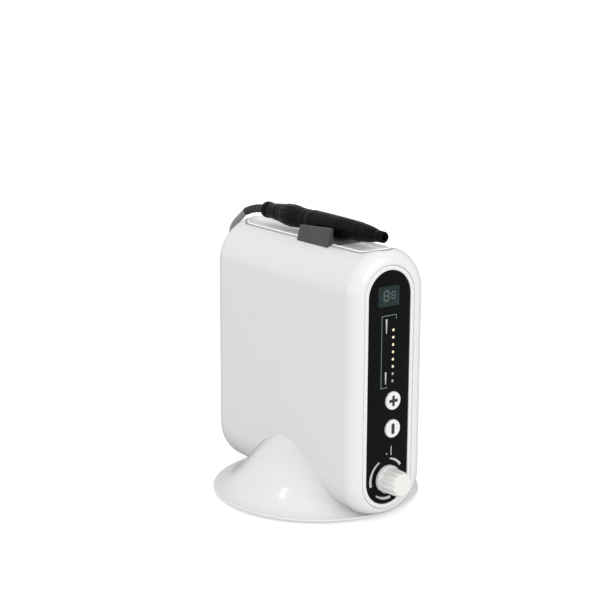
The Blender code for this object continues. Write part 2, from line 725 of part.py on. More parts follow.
def hose_plug():
    """The connector behind the handpiece: a boss that enters it, a bulge to grip and a long taper."""
    profile = [(0, 6.0), (3.3, 6.0), (3.6, 6.5), (3.6, 15.3), (7.2, 15.3), (7.5, 20.0), (8.2, 26.0)]
    profile += [(8.35, 30.0), (8.1, 34.0), (7.2, 40.0), (6.5, 46.0), (5.8, 53.0), (5.6, 57.2), (0, 57.2)]
    turned("hose_plug", profile, "satin_black", (0, 15.3, HANDPIECE_Z))


def plug_o_ring():
    turns = [math.tau * step / 6 for step in range(6)]
    profile = [(4.6 + 0.7 * math.sin(turn), 10.0 - 0.7 * math.cos(turn)) for turn in turns]
    turned("plug_o_ring", profile, "rubber", (0, 10.0, HANDPIECE_Z), ring=True)


def plug_collar():
    profile = [(5.7, 57.5), (6.1, 58.5), (6.1, 62.0), (5.4, 63.5), (3.7, 63.5), (3.7, 57.5)]
    turned("plug_collar", profile, "satin_black", (0, 57.5, HANDPIECE_Z), ring=True)


def walk(start, heading, moves):
    """A path in the middle plane; heading is degrees below level, a move is (length, turn)."""
    y, z = start
    path = [(0, y, z)]
    for length, turn in moves:
        pieces = max(1, round(abs(turn) / 12))
        for _ in range(pieces):
            heading += turn / pieces / 2
            y += length / pieces * math.cos(math.radians(heading))
            z -= length / pieces * math.sin(math.radians(heading))
            heading += turn / pieces / 2
            path.append((0, y, z))
    return path


def strain_relief():
    bend = RELIEF_BEND * math.radians(RELIEF_SLANT)
    path = walk((RELIEF_START, HANDPIECE_Z), 0, [(RELIEF_STRAIGHT, 0), (bend, RELIEF_SLANT)])
    tube("strain_relief", path, RELIEF_RADIUS, "satin_black", smooth=False)
    return path[-1]


def hose(start):
    """The hose kinks out of the sleeve, slopes, hangs down and turns into the gland."""
    turn = math.radians(RELIEF_SLANT)
    slant = math.radians(HOSE_SLANT)
    _, y, z = start
    start = (y + 2 * GAP * math.cos(turn), z - 2 * GAP * math.sin(turn))
    slope, upper, lower = 12.2, 16.0, 16.0
    moves = [(upper * (slant - turn), HOSE_SLANT - RELIEF_SLANT), (slope, 0)]
    moves += [(upper * (math.pi / 2 - slant), 90 - HOSE_SLANT)]
    drop = walk(start, RELIEF_SLANT, moves)[-1][2] - (GLAND_Z + lower)
    moves += [(drop, 0), (lower * math.pi / 2, 90)]
    path = walk(start, RELIEF_SLANT, moves)
    path.append((0, 70.0, path[-1][2]))
    tube("hose", path, HOSE_RADIUS, "hose_grey", smooth=False)


# ---- back of the unit ----

def cover_screws():
    """Across and up for each of the back cover's screws."""
    middle = 97.0
    top = TOP_CENTRE + COVER_SCREW_RADIUS
    low = BACK_CENTRE - COVER_SCREW_RADIUS
    return [(0, top), (0, low), (-COVER_SCREW_RADIUS, middle), (COVER_SCREW_RADIUS, middle)]


def rear_cover():
    loops = [round_loop(COVER_RADIUS, y, BACK_CENTRE) for y in (COVER_FRONT, BODY_BACK)]
    cover = loft("rear_cover", loops, "white")
    front, back = COVER_FRONT - 2, BODY_BACK + 2
    spans = [((x, front, z), (x, back, z)) for x, z in cover_screws()]
    boolean(cover, rods("cover_holes", 1.2 + GAP, spans, sides=12))
    boolean(cover, block("rocker_hole", (-6.8, front, ROCKER_Z - 9.8), (6.8, back, ROCKER_Z + 9.8), None))
    boolean(cover, block("power_hole", (-10.3, front, POWER_Z - 6.3), (10.3, back, POWER_Z + 6.3), None))
    holes = (("socket_hole", 7.9, SOCKET_Z), ("gland_hole", 5.3, GLAND_Z), ("water_hole", 4.2, WATER_Z))
    for name, radius, z in holes:
        boolean(cover, rods(name, radius, [((0, front, z), (0, back, z))]))


def rear_screws():
    head = BODY_BACK + GAP
    for number, (x, z) in enumerate(cover_screws(), 1):
        profile = [(0, 76.5), (0.8, 76.5), (1.2, 77.0), (1.2, head), (2.6, head), (2.6, head + 0.9)]
        profile += [(2.1, head + 1.5), (1.0, head + 1.5), (1.0, head + 0.6), (0, head + 0.6)]
        turned(f"rear_screw_{number}", profile, "steel", (x, head, z), steps=8)


def power_inlet():
    """A two-pin inlet: flange, body through the cover, and a pocket for the plug."""
    face = BODY_BACK + GAP
    inlet = block("power_inlet", (-13, face, POWER_Z - 8.5), (13, face + 1.8, POWER_Z + 8.5), "satin_black")
    low, top = (-10, 70.0, POWER_Z - 6), (10, face + 0.9, POWER_Z + 6)
    boolean(inlet, block("inlet_body", low, top, None), "UNION")
    low, top = (-7.8, 76.0, POWER_Z - 4), (7.8, face + 4, POWER_Z + 4)
    boolean(inlet, block("inlet_pocket", low, top, None))
    pins = [((x, 75.0, POWER_Z), (x, 84.0, POWER_Z)) for x in (-4.3, 4.3)]
    boolean(inlet, rods("inlet_pins", 1.2, pins, sides=12), "UNION")


def rocker_frame():
    face = BODY_BACK + GAP
    frame = block("rocker_frame", (-7.8, face, ROCKER_Z - 11), (7.8, face + 1.4, ROCKER_Z + 11), "satin_black")
    low, top = (-6.5, 72.0, ROCKER_Z - 9.5), (6.5, face + 0.7, ROCKER_Z + 9.5)
    boolean(frame, block("frame_body", low, top, None), "UNION")
    low, top = (-5.2, 78.0, ROCKER_Z - 8.3), (5.2, face + 4, ROCKER_Z + 8.3)
    boolean(frame, block("frame_pocket", low, top, None))
    pivot = [((-8, ROCKER_PIVOT, ROCKER_Z), (8, ROCKER_PIVOT, ROCKER_Z))]
    boolean(frame, rods("frame_pivot_holes", 1.3, pivot, sides=16))


def power_rocker():
    """The rocker stands tilted to its off side and turns about its own pivot pin."""
    tilt = math.radians(ROCKER_TILT)
    outline = []
    for up, out in ((-7.4, 3.6), (0, 2.6), (7.4, 3.6), (7.0, -2.5), (0, -4.5), (-7.0, -2.5)):
        outline.append((out * math.cos(tilt) - up * math.sin(tilt), up * math.cos(tilt) + out * math.sin(tilt)))
    rocker = flat("power_rocker", outline, -4.9, 4.9, "satin_black", plane="YZ")
    rocker.location = Vector((0, ROCKER_PIVOT, ROCKER_Z)) * MM
    pin = [((-6.2, ROCKER_PIVOT, ROCKER_Z), (6.2, ROCKER_PIVOT, ROCKER_Z))]
    boolean(rocker, rods("rocker_pin", 1.0, pin, sides=16), "UNION")


def pedal_socket():
    face = BODY_BACK + GAP
    profile = [(0, 74.0), (7.6, 74.0), (7.6, face), (9.2, face), (9.2, face + 1.2), (8.7, face + 1.7)]
    profile += [(5.6, face + 1.7), (5.6, 80.0), (0, 80.0)]
    turned("pedal_socket", profile, "satin_black", (0, face, SOCKET_Z))


def hose_gland():
    face = BODY_BACK + GAP
    profile = [(5.0, 77.0), (5.0, face), (7.4, face), (7.4, 90.0), (6.6, 93.4), (4.4, 94.8)]
    profile += [(HOSE_RADIUS + 0.4, 94.8), (HOSE_RADIUS + 0.4, 77.0)]
    turned("hose_gland", profile, "satin_black", (0, face, GLAND_Z), ring=True)


def water_inlet():
    face = BODY_BACK + GAP
    profile = [(2.0, 70.0), (2.4, 72.0), (2.0, 76.0), (3.9, 76.3), (3.9, face), (6.2, face), (6.2, 88.6)]
    profile += [(3.4, 88.6), (3.4, 91.0), (4.1, 91.4), (3.0, 94.6), (1.3, 94.6), (1.3, 70.0)]
    turned("water_inlet", profile, "brass", (0, face, WATER_Z), ring=True)


# ---- inside ----

def chassis():
    """Folded sheet: a foot over the base screws and an upright web with the board's standoffs."""
    half, low, sheet = CHASSIS_HALF, CHASSIS_LOW, CHASSIS_SHEET
    outline = [(-half, low), (half, low), (half, CHASSIS_TOP), (half - sheet, CHASSIS_TOP)]
    outline += [(half - sheet, low + sheet), (-half, low + sheet)]
    frame = flat("chassis", outline, CHASSIS_FRONT, CHASSIS_BACK, "aluminium", plane="XZ")
    spans = [((half - 0.5, y, z), (BOARD_X - GAP, y, z)) for y, z in STANDOFFS]
    boolean(frame, rods("standoffs", 2.2, spans, sides=12), "UNION")
    spans = [((x, y, 5.0), (x, y, 15.0)) for x, y in BASE_SCREWS]
    boolean(frame, rods("chassis_screw_holes", 1.8 + GAP, spans, sides=12))
    boolean(frame, block("cable_window", (half - 5, -10, 62), (half + 3, 26, 120), None))


def main_board():
    low = (BOARD_X, -36, 42)
    top = (BOARD_X + BOARD_THICKNESS, 48, 144)
    block("main_board", low, top, "board")


def heat_sink():
    """A finned extrusion on the main board."""
    foot = BOARD_X + BOARD_THICKNESS + GAP
    outline = [(foot, -28.0), (foot + 9.5, -28.0)]
    for fin in range(5):
        front = -28.0 + 6.2 * fin
        outline += [(foot + 9.5, front + 1.6), (foot + 2.2, front + 1.6)]
        outline += [(foot + 2.2, front + 6.2), (foot + 9.5, front + 6.2)]
    outline += [(foot + 9.5, 4.6), (foot, 4.6)]
    flat("heat_sink", outline, 88.0, 130.0, "aluminium")


def capacitor():
    foot = BOARD_X + BOARD_THICKNESS + GAP
    rods("capacitor", 7.0, [((foot, 28, 66), (foot + 10.2, 28, 66))], "satin_black")


def transformer():
    """Laminated core with the winding standing out of it front and back."""
    low = CHASSIS_LOW + CHASSIS_SHEET + GAP
    core = block("transformer", (-16.5, 10, low), (CHASSIS_HALF - CHASSIS_SHEET - GAP, 38, 48), "core")
    winding = block("winding", (-12.0, 3, low + 7), (6.5, 45, 41), None, bevel=2.0)
    boolean(core, winding, "UNION")


def solenoid_body():
    """A water block with a coil tower; the plunger's bore has a vent at the top."""
    x, y = SOLENOID
    body = block("solenoid_body", (x - 11, y - 11, 80), (x + 11, y + 11, 94), "satin_black", bevel=1.0)
    tab = ((x + 9, y - 6, 82), (CHASSIS_HALF - CHASSIS_SHEET - GAP, y + 6, 92))
    boolean(body, block("solenoid_tab", *tab, None), "UNION")
    boolean(body, rods("coil_tower", 10.6, [((x, y, 93), (x, y, 124))], sides=20), "UNION")
    boolean(body, rods("plunger_bore", 4.4, [((x, y, PLUNGER_LOW - GAP), (x, y, 121))], sides=16))
    boolean(body, rods("vent", 1.3, [((x, y, 119), (x, y, 126))], sides=12))


def solenoid_plunger():
    x, y = SOLENOID
    profile = [(0, PLUNGER_HIGH), (3.3, PLUNGER_HIGH), (4.0, 113.3), (4.0, 99.5), (2.0, PLUNGER_LOW)]
    profile.append((0, PLUNGER_LOW))
    turned("solenoid_plunger", profile, "steel", (x, y, PLUNGER_LOW), "Z", steps=20)


def solenoid_spring():
    x, y = SOLENOID
    low, high, turns, per_turn = PLUNGER_HIGH + 0.8, 120.2, 4, 8
    path = []
    for step in range(turns * per_turn + 1):
        angle = math.tau * step / per_turn
        height = low + (high - low) * step / (turns * per_turn)
        path.append((x + 3.0 * math.cos(angle), y + 3.0 * math.sin(angle), height))
    tube("solenoid_spring", path, 0.4, "steel", smooth=False, bevel_resolution=0)


def inlet_tube():
    x, y = SOLENOID
    path = [(0, 69.4, WATER_Z), (0, 66, WATER_Z), (-9, 58, 27), (-20, 49, 33), (-25, 30, 48), (-23, 12, 70)]
    path += [(-14, 2, 84), (x, y + 14, 87), (x, y + 11 + 2 * GAP, 87)]
    tube("inlet_tube", path, 2.0, "tube", bevel_resolution=1)


def outlet_tube():
    x, y = SOLENOID
    path = [(x, y - 11 - 2 * GAP, 87), (x, y - 14, 87), (-9, -42, 78), (-6, -47, 60), (-1, -49, 42)]
    path += [(0, -51, 34), (0, -56, KNOB_Z), (0, -59.2, KNOB_Z)]
    tube("outlet_tube", path, 2.0, "tube", bevel_resolution=1)


def build():
    for make in (
        base_skirt, base_plate, base_screws, foot_pad,
        main_housing, front_bezel, control_panel, display_window, display_module, light_pipe, light_bar,
        control_board, water_knob, valve_spindle, valve_body, valve_nut,
        top_tray, handpiece_holder, holder_screws,
        nose_cap, nose_cone, grip_sleeve, tail_sleeve, piezo_horn, piezo_stack, back_mass,
        hose_plug, plug_o_ring, plug_collar,
        rear_cover, rear_screws, power_inlet, rocker_frame, power_rocker, pedal_socket, hose_gland, water_inlet,
        chassis, main_board, heat_sink, capacitor, transformer,
        solenoid_body, solenoid_plunger, solenoid_spring, inlet_tube, outlet_tube,
    ):
        make()
    for name, z in (("plus", PLUS_Z), ("minus", MINUS_Z)):
        key_button(name + "_button", z)
        key_switch(name + "_switch", z)
    hose(strain_relief())


clear_scene()
PARTS = new_collection("ultrasonic_scaler")
CUTTERS = new_collection("cutters")
CUTTERS.hide_render = True
build()
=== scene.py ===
"""Looks for the tabletop ultrasonic scaler: fine shells, procedural materials and a soft studio.

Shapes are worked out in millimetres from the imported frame's boxes and turned into metres when a mesh
is made. -Y is the control panel's side and +Z is up.
"""

import json
import math

import bmesh
import bpy
from mathutils import Matrix, Vector

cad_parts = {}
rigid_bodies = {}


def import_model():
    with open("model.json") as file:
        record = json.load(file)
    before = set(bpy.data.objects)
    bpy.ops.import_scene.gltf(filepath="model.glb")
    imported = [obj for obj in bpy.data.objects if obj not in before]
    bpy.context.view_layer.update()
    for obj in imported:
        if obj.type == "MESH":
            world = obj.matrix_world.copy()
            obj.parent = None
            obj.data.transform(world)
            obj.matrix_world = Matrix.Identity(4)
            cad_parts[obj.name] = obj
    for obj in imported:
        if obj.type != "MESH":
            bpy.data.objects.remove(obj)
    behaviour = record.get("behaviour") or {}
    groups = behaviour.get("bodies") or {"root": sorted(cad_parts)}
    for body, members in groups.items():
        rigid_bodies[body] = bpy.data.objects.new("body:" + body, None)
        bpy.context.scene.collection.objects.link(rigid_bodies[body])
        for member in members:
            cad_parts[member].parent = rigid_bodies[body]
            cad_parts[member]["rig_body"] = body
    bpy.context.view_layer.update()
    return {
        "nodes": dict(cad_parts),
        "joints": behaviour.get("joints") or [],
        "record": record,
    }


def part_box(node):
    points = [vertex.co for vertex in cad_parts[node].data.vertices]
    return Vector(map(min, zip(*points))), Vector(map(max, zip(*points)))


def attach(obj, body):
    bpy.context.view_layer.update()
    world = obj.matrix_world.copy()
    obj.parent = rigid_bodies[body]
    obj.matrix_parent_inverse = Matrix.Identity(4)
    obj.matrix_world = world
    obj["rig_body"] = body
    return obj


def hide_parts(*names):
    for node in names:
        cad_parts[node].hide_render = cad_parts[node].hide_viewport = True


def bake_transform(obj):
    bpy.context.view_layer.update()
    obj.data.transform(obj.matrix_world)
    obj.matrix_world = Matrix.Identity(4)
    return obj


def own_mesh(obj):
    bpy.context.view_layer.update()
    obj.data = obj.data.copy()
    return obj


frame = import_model()

MM = 0.001
GAP = 0.3  # clearance between neighbouring pieces
EDGE = 0.35  # rounding of a moulded edge
FRONT_EDGE = 1.2  # how deep the rounding round the panel's rim runs
WALL = 2.4  # thickness of the body's and the foot's walls
SLOTS = {part["node"]: part["material_slot"] for part in frame["record"]["subparts"]}
BODY_OF = {node: body for body, nodes in frame["record"]["behaviour"]["bodies"].items() for node in nodes}


def box_mm(node):
    low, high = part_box(node)
    return low / MM, high / MM


# ---- sizes taken from the frame ----

SLEEVE_LOW, SLEEVE_HIGH = box_mm("main_housing")
PANEL_LOW, PANEL_HIGH = box_mm("control_panel")
COVER_LOW, COVER_HIGH = box_mm("rear_cover")
TRAY_LOW, TRAY_HIGH = box_mm("top_tray")
GRIP_LOW, GRIP_HIGH = box_mm("grip_sleeve")
LIGHTS_LOW, LIGHTS_HIGH = box_mm("light_pipe")
KNOB_LOW, KNOB_HIGH = box_mm("water_knob")
KNOB_Z = (KNOB_LOW.z + KNOB_HIGH.z) / 2
HANDPIECE_Z = (GRIP_LOW.z + GRIP_HIGH.z) / 2

# Body sleeve
HALF = SLEEVE_HIGH.x
FRONT = SLEEVE_LOW.y
BACK = SLEEVE_HIGH.y
UNDERSIDE = SLEEVE_LOW.z
RIM = box_mm("front_bezel")[1].x - 0.5
PANEL_RADIUS = PANEL_HIGH.x
TOP_CENTRE = PANEL_HIGH.z - PANEL_RADIUS
LOW_CENTRE = PANEL_LOW.z + PANEL_RADIUS
BACK_CENTRE = COVER_LOW.z + COVER_HIGH.x
FRONT_SETBACK = 8.5
BACK_SETBACK = 12.0
RECESS = 2.8
BACK_OPENING = 15.5
TRAY_GAP = 0.5
SLOT_HALF = TRAY_HIGH.x + TRAY_GAP
SLOT_FRONT = TRAY_LOW.y - TRAY_GAP + SLOT_HALF  # centres of the slot's round ends
SLOT_BACK = TRAY_HIGH.y + TRAY_GAP - SLOT_HALF
LIP = 0.9
TRAY_FLOOR = TRAY_LOW.z + 2.0
TRAY_RIM = 1.9
HOLDER_RISE = 2.3
HOLDER_STRAP = 189.8
SCREW_SEAT = 188.2
PLUG_SHOULDER = 15.3  # where the hose connector meets the handpiece
SEAM = 0.02  # seams between the handpiece's sleeves are closed to this

# Studio
FLOOR_LIFT = 0.5  # extra brightness of the floor as the camera sees it
SKY = 1.12  # brightness of the even sky
DIM_SIDE = 0.6  # share of it that is left on the unit's right
DIM_TOP = 0.84  # share of it that is left overhead

# Steps of the curved surfaces
CREST_STEPS = 26
SIDE_STEPS = 5
LOW_STEPS = 22
FILLET_STEPS = 12

# Hose and its strain relief, in the middle plane
HOSE_SLANT = 36.5  # degrees below level
RELIEF_SLANT = 22.0
RELIEF_STRAIGHT = 5.7
RELIEF_BEND = 70.0
HOSE_BEND = 16.0
HOSE_HEEL = 16.0


# ---- mesh helpers ----

def finish_mesh(name, shape, node, nodes=None, slot=None, sharp=38, body=None):
    """Turn a shape in millimetres into a piece that stands for its CAD nodes and rides on their body."""
    bmesh.ops.remove_doubles(shape, verts=shape.verts, dist=0.002)
    bmesh.ops.recalc_face_normals(shape, faces=shape.faces)
    bmesh.ops.scale(shape, verts=shape.verts, vec=(MM, MM, MM))
    mesh = bpy.data.meshes.new(name)
    shape.to_mesh(mesh)
    shape.free()
    mesh.shade_smooth()
    mesh.set_sharp_from_angle(angle=math.radians(sharp))
    thing = bpy.data.objects.new(name, mesh)
    bpy.context.scene.collection.objects.link(thing)
    slot = slot or SLOTS[node]
    mesh.materials.append(MATERIALS[slot])
    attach(thing, body or BODY_OF[node])
    if nodes is None:
        nodes = [node]
    if nodes:
        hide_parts(*nodes)
    return thing


def skin(shape, loops, closed=False, open_strip=False, caps=False):
    """Join a row of loops that have the same number of points into one shape."""
    rows = [[shape.verts.new(point) for point in loop] for loop in loops]
    pairs = list(zip(rows, rows[1:]))
    if closed:
        pairs.append((rows[-1], rows[0]))
    for one, two in pairs:
        count = len(one)
        for i in range(count - 1 if open_strip else count):
            j = (i + 1) % count
            shape.faces.new((one[i], one[j], two[j], two[i]))
    if caps:
        shape.faces.new(rows[0])
        shape.faces.new(rows[-1])
    return rows


def smooth_corners(profile, closed=False, steps=4):
    """Round the corners of a profile whose points are (radius, position) or (radius, position, rounding)."""
    points = []
    count = len(profile)
    for i, item in enumerate(profile):
        here = Vector(item[:2])
        if len(item) < 3 or (not closed and i in (0, count - 1)):
            points.append(here)
            continue
        before = Vector(profile[i - 1][:2])
        after = Vector(profile[(i + 1) % count][:2])
        enter = here + (before - here).normalized() * item[2]
        leave = here + (after - here).normalized() * item[2]
        for step in range(steps + 1):
            t = step / steps
            points.append(enter * (1 - t) ** 2 + here * 2 * t * (1 - t) + leave * t * t)
    return points


def revolve(shape, profile, centre, along="Y", segments=64, ring=False, wave=None, steps=4):
    """Spin a profile of (radius, position) about an axis through centre; wave changes the radius."""
    points = smooth_corners(profile, closed=ring, steps=steps)
    x, y, z = centre
    loops = []
    for radius, position in points:
        loop = []
        for step in range(segments):
            turn = math.tau * step / segments
            reach = radius + (wave(turn, position) if wave and radius > 0 else 0)
            if along == "Y":
                loop.append(Vector((x + reach * math.cos(turn), position, z + reach * math.sin(turn))))
            else:
                loop.append(Vector((x + reach * math.cos(turn), y + reach * math.sin(turn), position)))
        loops.append(loop)
    skin(shape, loops, closed=ring)


def turned(name, profile, node, centre, along="Y", **options):
    finish = {key: options.pop(key) for key in ("slot", "nodes", "sharp", "body") if key in options}
    shape = bmesh.new()
    revolve(shape, profile, centre, along, **options)
    return finish_mesh(name, shape, node, **finish)


def prism(shape, outline, front, back):
    """A flat outline of (x, z) points given a depth from front to back."""
    rows = [[shape.verts.new((x, y, z)) for x, z in outline] for y in (front, back)]
    count = len(outline)
    for i in range(count):
        j = (i + 1) % count
        shape.faces.new((rows[0][i], rows[0][j], rows[1][j], rows[1][i]))
    for row in rows:
        shape.faces.new(row)


def add_box(shape, low, high):
    outline = [(low[0], low[2]), (high[0], low[2]), (high[0], high[2]), (low[0], high[2])]
    prism(shape, outline, low[1], high[1])


def disc_outline(centre, radius, steps=40):
    x, z = centre
    turns = [math.tau * step / steps for step in range(steps)]
    return [(x + radius * math.cos(turn), z + radius * math.sin(turn)) for turn in turns]


def rounded_outline(centre, size, radius, steps=6):
    """A rectangle with round corners, across and up."""
    x, z = centre
    wide, high = size[0] / 2 - radius, size[1] / 2 - radius
    outline = []
    for corner, (across, up) in enumerate(((wide, high), (-wide, high), (-wide, -high), (wide, -high))):
        for step in range(steps + 1):
            turn = math.radians(90 * corner + 90 * step / steps)
            outline.append((x + across + radius * math.cos(turn), z + up + radius * math.sin(turn)))
    return outline


def cutter(outlines, front, back):
    shape = bmesh.new()
    for outline in outlines:
        prism(shape, outline, front, back)
    return shape_cutter(shape)


def shape_cutter(shape):
    """A tool to cut with, from a shape in millimetres."""
    bmesh.ops.recalc_face_normals(shape, faces=shape.faces)
    bmesh.ops.scale(shape, verts=shape.verts, vec=(MM, MM, MM))
    mesh = bpy.data.meshes.new("cutter")
    shape.to_mesh(mesh)
    shape.free()
    tool = bpy.data.objects.new("cutter", mesh)
    bpy.context.scene.collection.objects.link(tool)
    return tool


def cut(thing, tool):
    """Take the tool out of a piece and keep the result in its mesh."""
    change = thing.modifiers.new("cut", "BOOLEAN")
    change.operation = "DIFFERENCE"
    change.solver = "EXACT"
    change.object = tool
    bpy.context.view_layer.update()
    graph = bpy.context.evaluated_depsgraph_get()
    mesh = bpy.data.meshes.new_from_object(thing.evaluated_get(graph))
    thing.modifiers.clear()
    old = thing.data
    thing.data = mesh
    bpy.data.meshes.remove(old)
    bpy.data.objects.remove(tool, do_unlink=True)
    mesh.shade_smooth()
    mesh.set_sharp_from_angle(angle=math.radians(30))


def soften(thing, width, segments=3, angle=30):
    """Round the edges of a piece with a bevel that keeps the flat faces flat."""
    bevel = thing.modifiers.new("soften", "BEVEL")
    bevel.width = width * MM
    bevel.segments = segments
    bevel.limit_method = "ANGLE"
    bevel.angle_limit = math.radians(angle)
    bevel.harden_normals = True
    bevel.use_clamp_overlap = True


# ---- materials ----

def new_tree(name, colour, roughness, metallic=0.0):
    material = bpy.data.materials.new(name)
    material.use_nodes = True
    tree = material.node_tree
    shader = tree.nodes["Principled BSDF"]
    shader.inputs["Base Color"].default_value = (*colour, 1)
    shader.inputs["Roughness"].default_value = roughness
    shader.inputs["Metallic"].default_value = metallic
    material.diffuse_color = (*colour, 1)
    where = tree.nodes.new("ShaderNodeTexCoord").outputs["Object"]
    return material, tree, shader, where


def noise(tree, where, scale, detail=3.0, stretch=None):
    """Noise over the object's own coordinates; stretch draws it out along an axis."""
    if stretch:
        mapping = tree.nodes.new("ShaderNodeMapping")
        mapping.inputs["Scale"].default_value = stretch
        tree.links.new(where, mapping.inputs["Vector"])
        where = mapping.outputs["Vector"]
    texture = tree.nodes.new("ShaderNodeTexNoise")
    texture.inputs["Scale"].default_value = scale
    texture.inputs["Detail"].default_value = detail
    tree.links.new(where, texture.inputs["Vector"])
    return texture.outputs["Fac"]


def remap(tree, value, low, high, start=0.3, end=0.7):
    node = tree.nodes.new("ShaderNodeMapRange")
    node.inputs["From Min"].default_value = start
    node.inputs["From Max"].default_value = end
    node.inputs["To Min"].default_value = low
    node.inputs["To Max"].default_value = high
    tree.links.new(value, node.inputs["Value"])
    return node.outputs["Result"]


def product(tree, one, two):
    node = tree.nodes.new("ShaderNodeMath")
    node.operation = "MULTIPLY"
    tree.links.new(one, node.inputs[0])
    tree.links.new(two, node.inputs[1])
    return node.outputs["Value"]


def blend_colour(tree, factor, one, two):
    """Mix two colours, each a tuple or a socket, by a socket."""
    node = tree.nodes.new("ShaderNodeMix")
    node.data_type = "RGBA"
    tree.links.new(factor, node.inputs["Factor"])
    for socket, colour in ((node.inputs["A"], one), (node.inputs["B"], two)):
        if isinstance(colour, tuple):
            socket.default_value = (*colour, 1)
        else:
            tree.links.new(colour, socket)
    return node.outputs["Result"]


def bump(tree, shader, height, depth, strength=0.5):
    node = tree.nodes.new("ShaderNodeBump")
    node.inputs["Strength"].default_value = strength
    node.inputs["Distance"].default_value = depth
    tree.links.new(height, node.inputs["Height"])
    previous = shader.inputs["Normal"].links
    if previous:
        tree.links.new(previous[0].from_socket, node.inputs["Normal"])
    tree.links.new(node.outputs["Normal"], shader.inputs["Normal"])


def edges(tree):
    """Where the surface is convex, such as along a worn edge."""
    return remap(tree, tree.nodes.new("ShaderNodeNewGeometry").outputs["Pointiness"], 0, 1, 0.52, 0.62)


def turned_away(tree, power):
    """Rises from 0 where the surface faces the eye to 1 at its outline."""
    facing = tree.nodes.new("ShaderNodeLayerWeight")
    facing.inputs["Blend"].default_value = 0.5
    raised = tree.nodes.new("ShaderNodeMath")
    raised.operation = "POWER"
    raised.inputs[1].default_value = power
    tree.links.new(facing.outputs["Facing"], raised.inputs[0])
    return raised.outputs["Value"]


def scaled(colour, share):
    return tuple(min(channel * share, 1) for channel in colour)


def moulded(name, colour, roughness, grain=900, depth=0.00002, mottle=0.03, coat=0.0, sheen=0.0, wear=1.0,
            specular=0.5, outline=0.0):
    """Moulded plastic or rubber: a fine grain, slow random changes of tone and gloss, rubbed edges, and, where outline
    is set, painted shade that darkens the colour towards its outline.
    """
    material, tree, shader, where = new_tree(name, colour, roughness)
    slow = noise(tree, where, 28, 2)
    fine = noise(tree, where, grain, 4)
    shade = blend_colour(tree, remap(tree, slow, 0, 1), scaled(colour, 1 - mottle), scaled(colour, 1 + mottle))
    shade = blend_colour(tree, remap(tree, fine, 0, 0.35), shade, scaled(colour, 1 - 2 * mottle))
    shade = blend_colour(tree, edges(tree), shade, scaled(colour, wear))
    # Painted shade: outline darkens the colour towards black where the surface turns away from the eye.
    if outline:
        shade = blend_colour(tree, remap(tree, turned_away(tree, 4), 0, outline, 0, 1), shade, (0, 0, 0))
    tree.links.new(shade, shader.inputs["Base Color"])
    gloss = noise(tree, where, 90, 5)
    tree.links.new(remap(tree, gloss, roughness * 0.85, roughness * 1.2), shader.inputs["Roughness"])
    bump(tree, shader, fine, depth)
    shader.inputs["Coat Weight"].default_value = coat
    shader.inputs["Coat Roughness"].default_value = 0.13
    shader.inputs["Sheen Weight"].default_value = sheen
    shader.inputs["Specular IOR Level"].default_value = specular
    return material


def machined(name, colour, roughness, stretch=(1, 60, 1), scratch=0.000015):
    """Bare metal with fine tool marks across one direction and duller patches."""
    material, tree, shader, where = new_tree(name, colour, roughness, 1.0)
    marks = noise(tree, where, 120, 4, stretch)
    patches = noise(tree, where, 60, 3)
    shade = blend_colour(tree, remap(tree, patches, 0, 1), scaled(colour, 0.86), scaled(colour, 1.06))
    tree.links.new(shade, shader.inputs["Base Color"])
    tree.links.new(remap(tree, marks, roughness * 0.7, roughness * 1.4), shader.inputs["Roughness"])
    bump(tree, shader, marks, scratch)
    return material


def circuit_board(name, colour):
    """Solder mask over a net of traces, with bare pads."""
    material, tree, shader, where = new_tree(name, colour, 0.35)
    turn = tree.nodes.new("ShaderNodeMapping")
    turn.inputs["Rotation"].default_value = (0.0, math.radians(90), math.radians(90))
    tree.links.new(where, turn.inputs["Vector"])
    traces = tree.nodes.new("ShaderNodeTexBrick")
    traces.inputs["Scale"].default_value = 90
    traces.inputs["Mortar Size"].default_value = 0.06
    tree.links.new(turn.outputs["Vector"], traces.inputs["Vector"])
    pads = tree.nodes.new("ShaderNodeTexVoronoi")
    pads.inputs["Scale"].default_value = 240
    tree.links.new(where, pads.inputs["Vector"])
    spots = remap(tree, pads.outputs["Distance"], 1, 0, 0.12, 0.18)
    shade = blend_colour(tree, traces.outputs["Fac"], colour, scaled(colour, 1.9))
    shade = blend_colour(tree, spots, shade, (0.72, 0.6, 0.3))
    tree.links.new(shade, shader.inputs["Base Color"])
    bump(tree, shader, traces.outputs["Fac"], 0.00004)
    return material


def laminated(name, colour):
    """Varnished sheet stack: thin dark lines between the sheets."""
    material, tree, shader, where = new_tree(name, colour, 0.45, 0.3)
    bands = tree.nodes.new("ShaderNodeTexWave")
    bands.bands_direction = "Y"
    bands.inputs["Scale"].default_value = 320
    bands.inputs["Distortion"].default_value = 0.4
    tree.links.new(where, bands.inputs["Vector"])
    rust = noise(tree, where, 140, 5)
    shade = blend_colour(tree, bands.outputs["Fac"], scaled(colour, 0.45), scaled(colour, 1.2))
    shade = blend_colour(tree, remap(tree, rust, 0, 0.4), shade, (0.24, 0.13, 0.06))
    tree.links.new(shade, shader.inputs["Base Color"])
    bump(tree, shader, bands.outputs["Fac"], 0.0001)
    return material


def display_glass(name, colour):
    """Tinted window over a dark module whose cells just show."""
    material, tree, shader, where = new_tree(name, colour, 0.12)
    cells = tree.nodes.new("ShaderNodeTexVoronoi")
    cells.distance = "CHEBYCHEV"
    cells.inputs["Scale"].default_value = 420
    cells.inputs["Randomness"].default_value = 0.0
    tree.links.new(where, cells.inputs["Vector"])
    haze = noise(tree, where, 110, 3)
    shade = blend_colour(tree, remap(tree, haze, 0, 1), scaled(colour, 0.6), scaled(colour, 1.5))
    shade = blend_colour(tree, remap(tree, cells.outputs["Distance"], 0.14, 0, 0.0, 0.5), shade, (0.1, 0.16, 0.15))
    tree.links.new(shade, shader.inputs["Base Color"])
    shader.inputs["Specular IOR Level"].default_value = 0.15
    return material


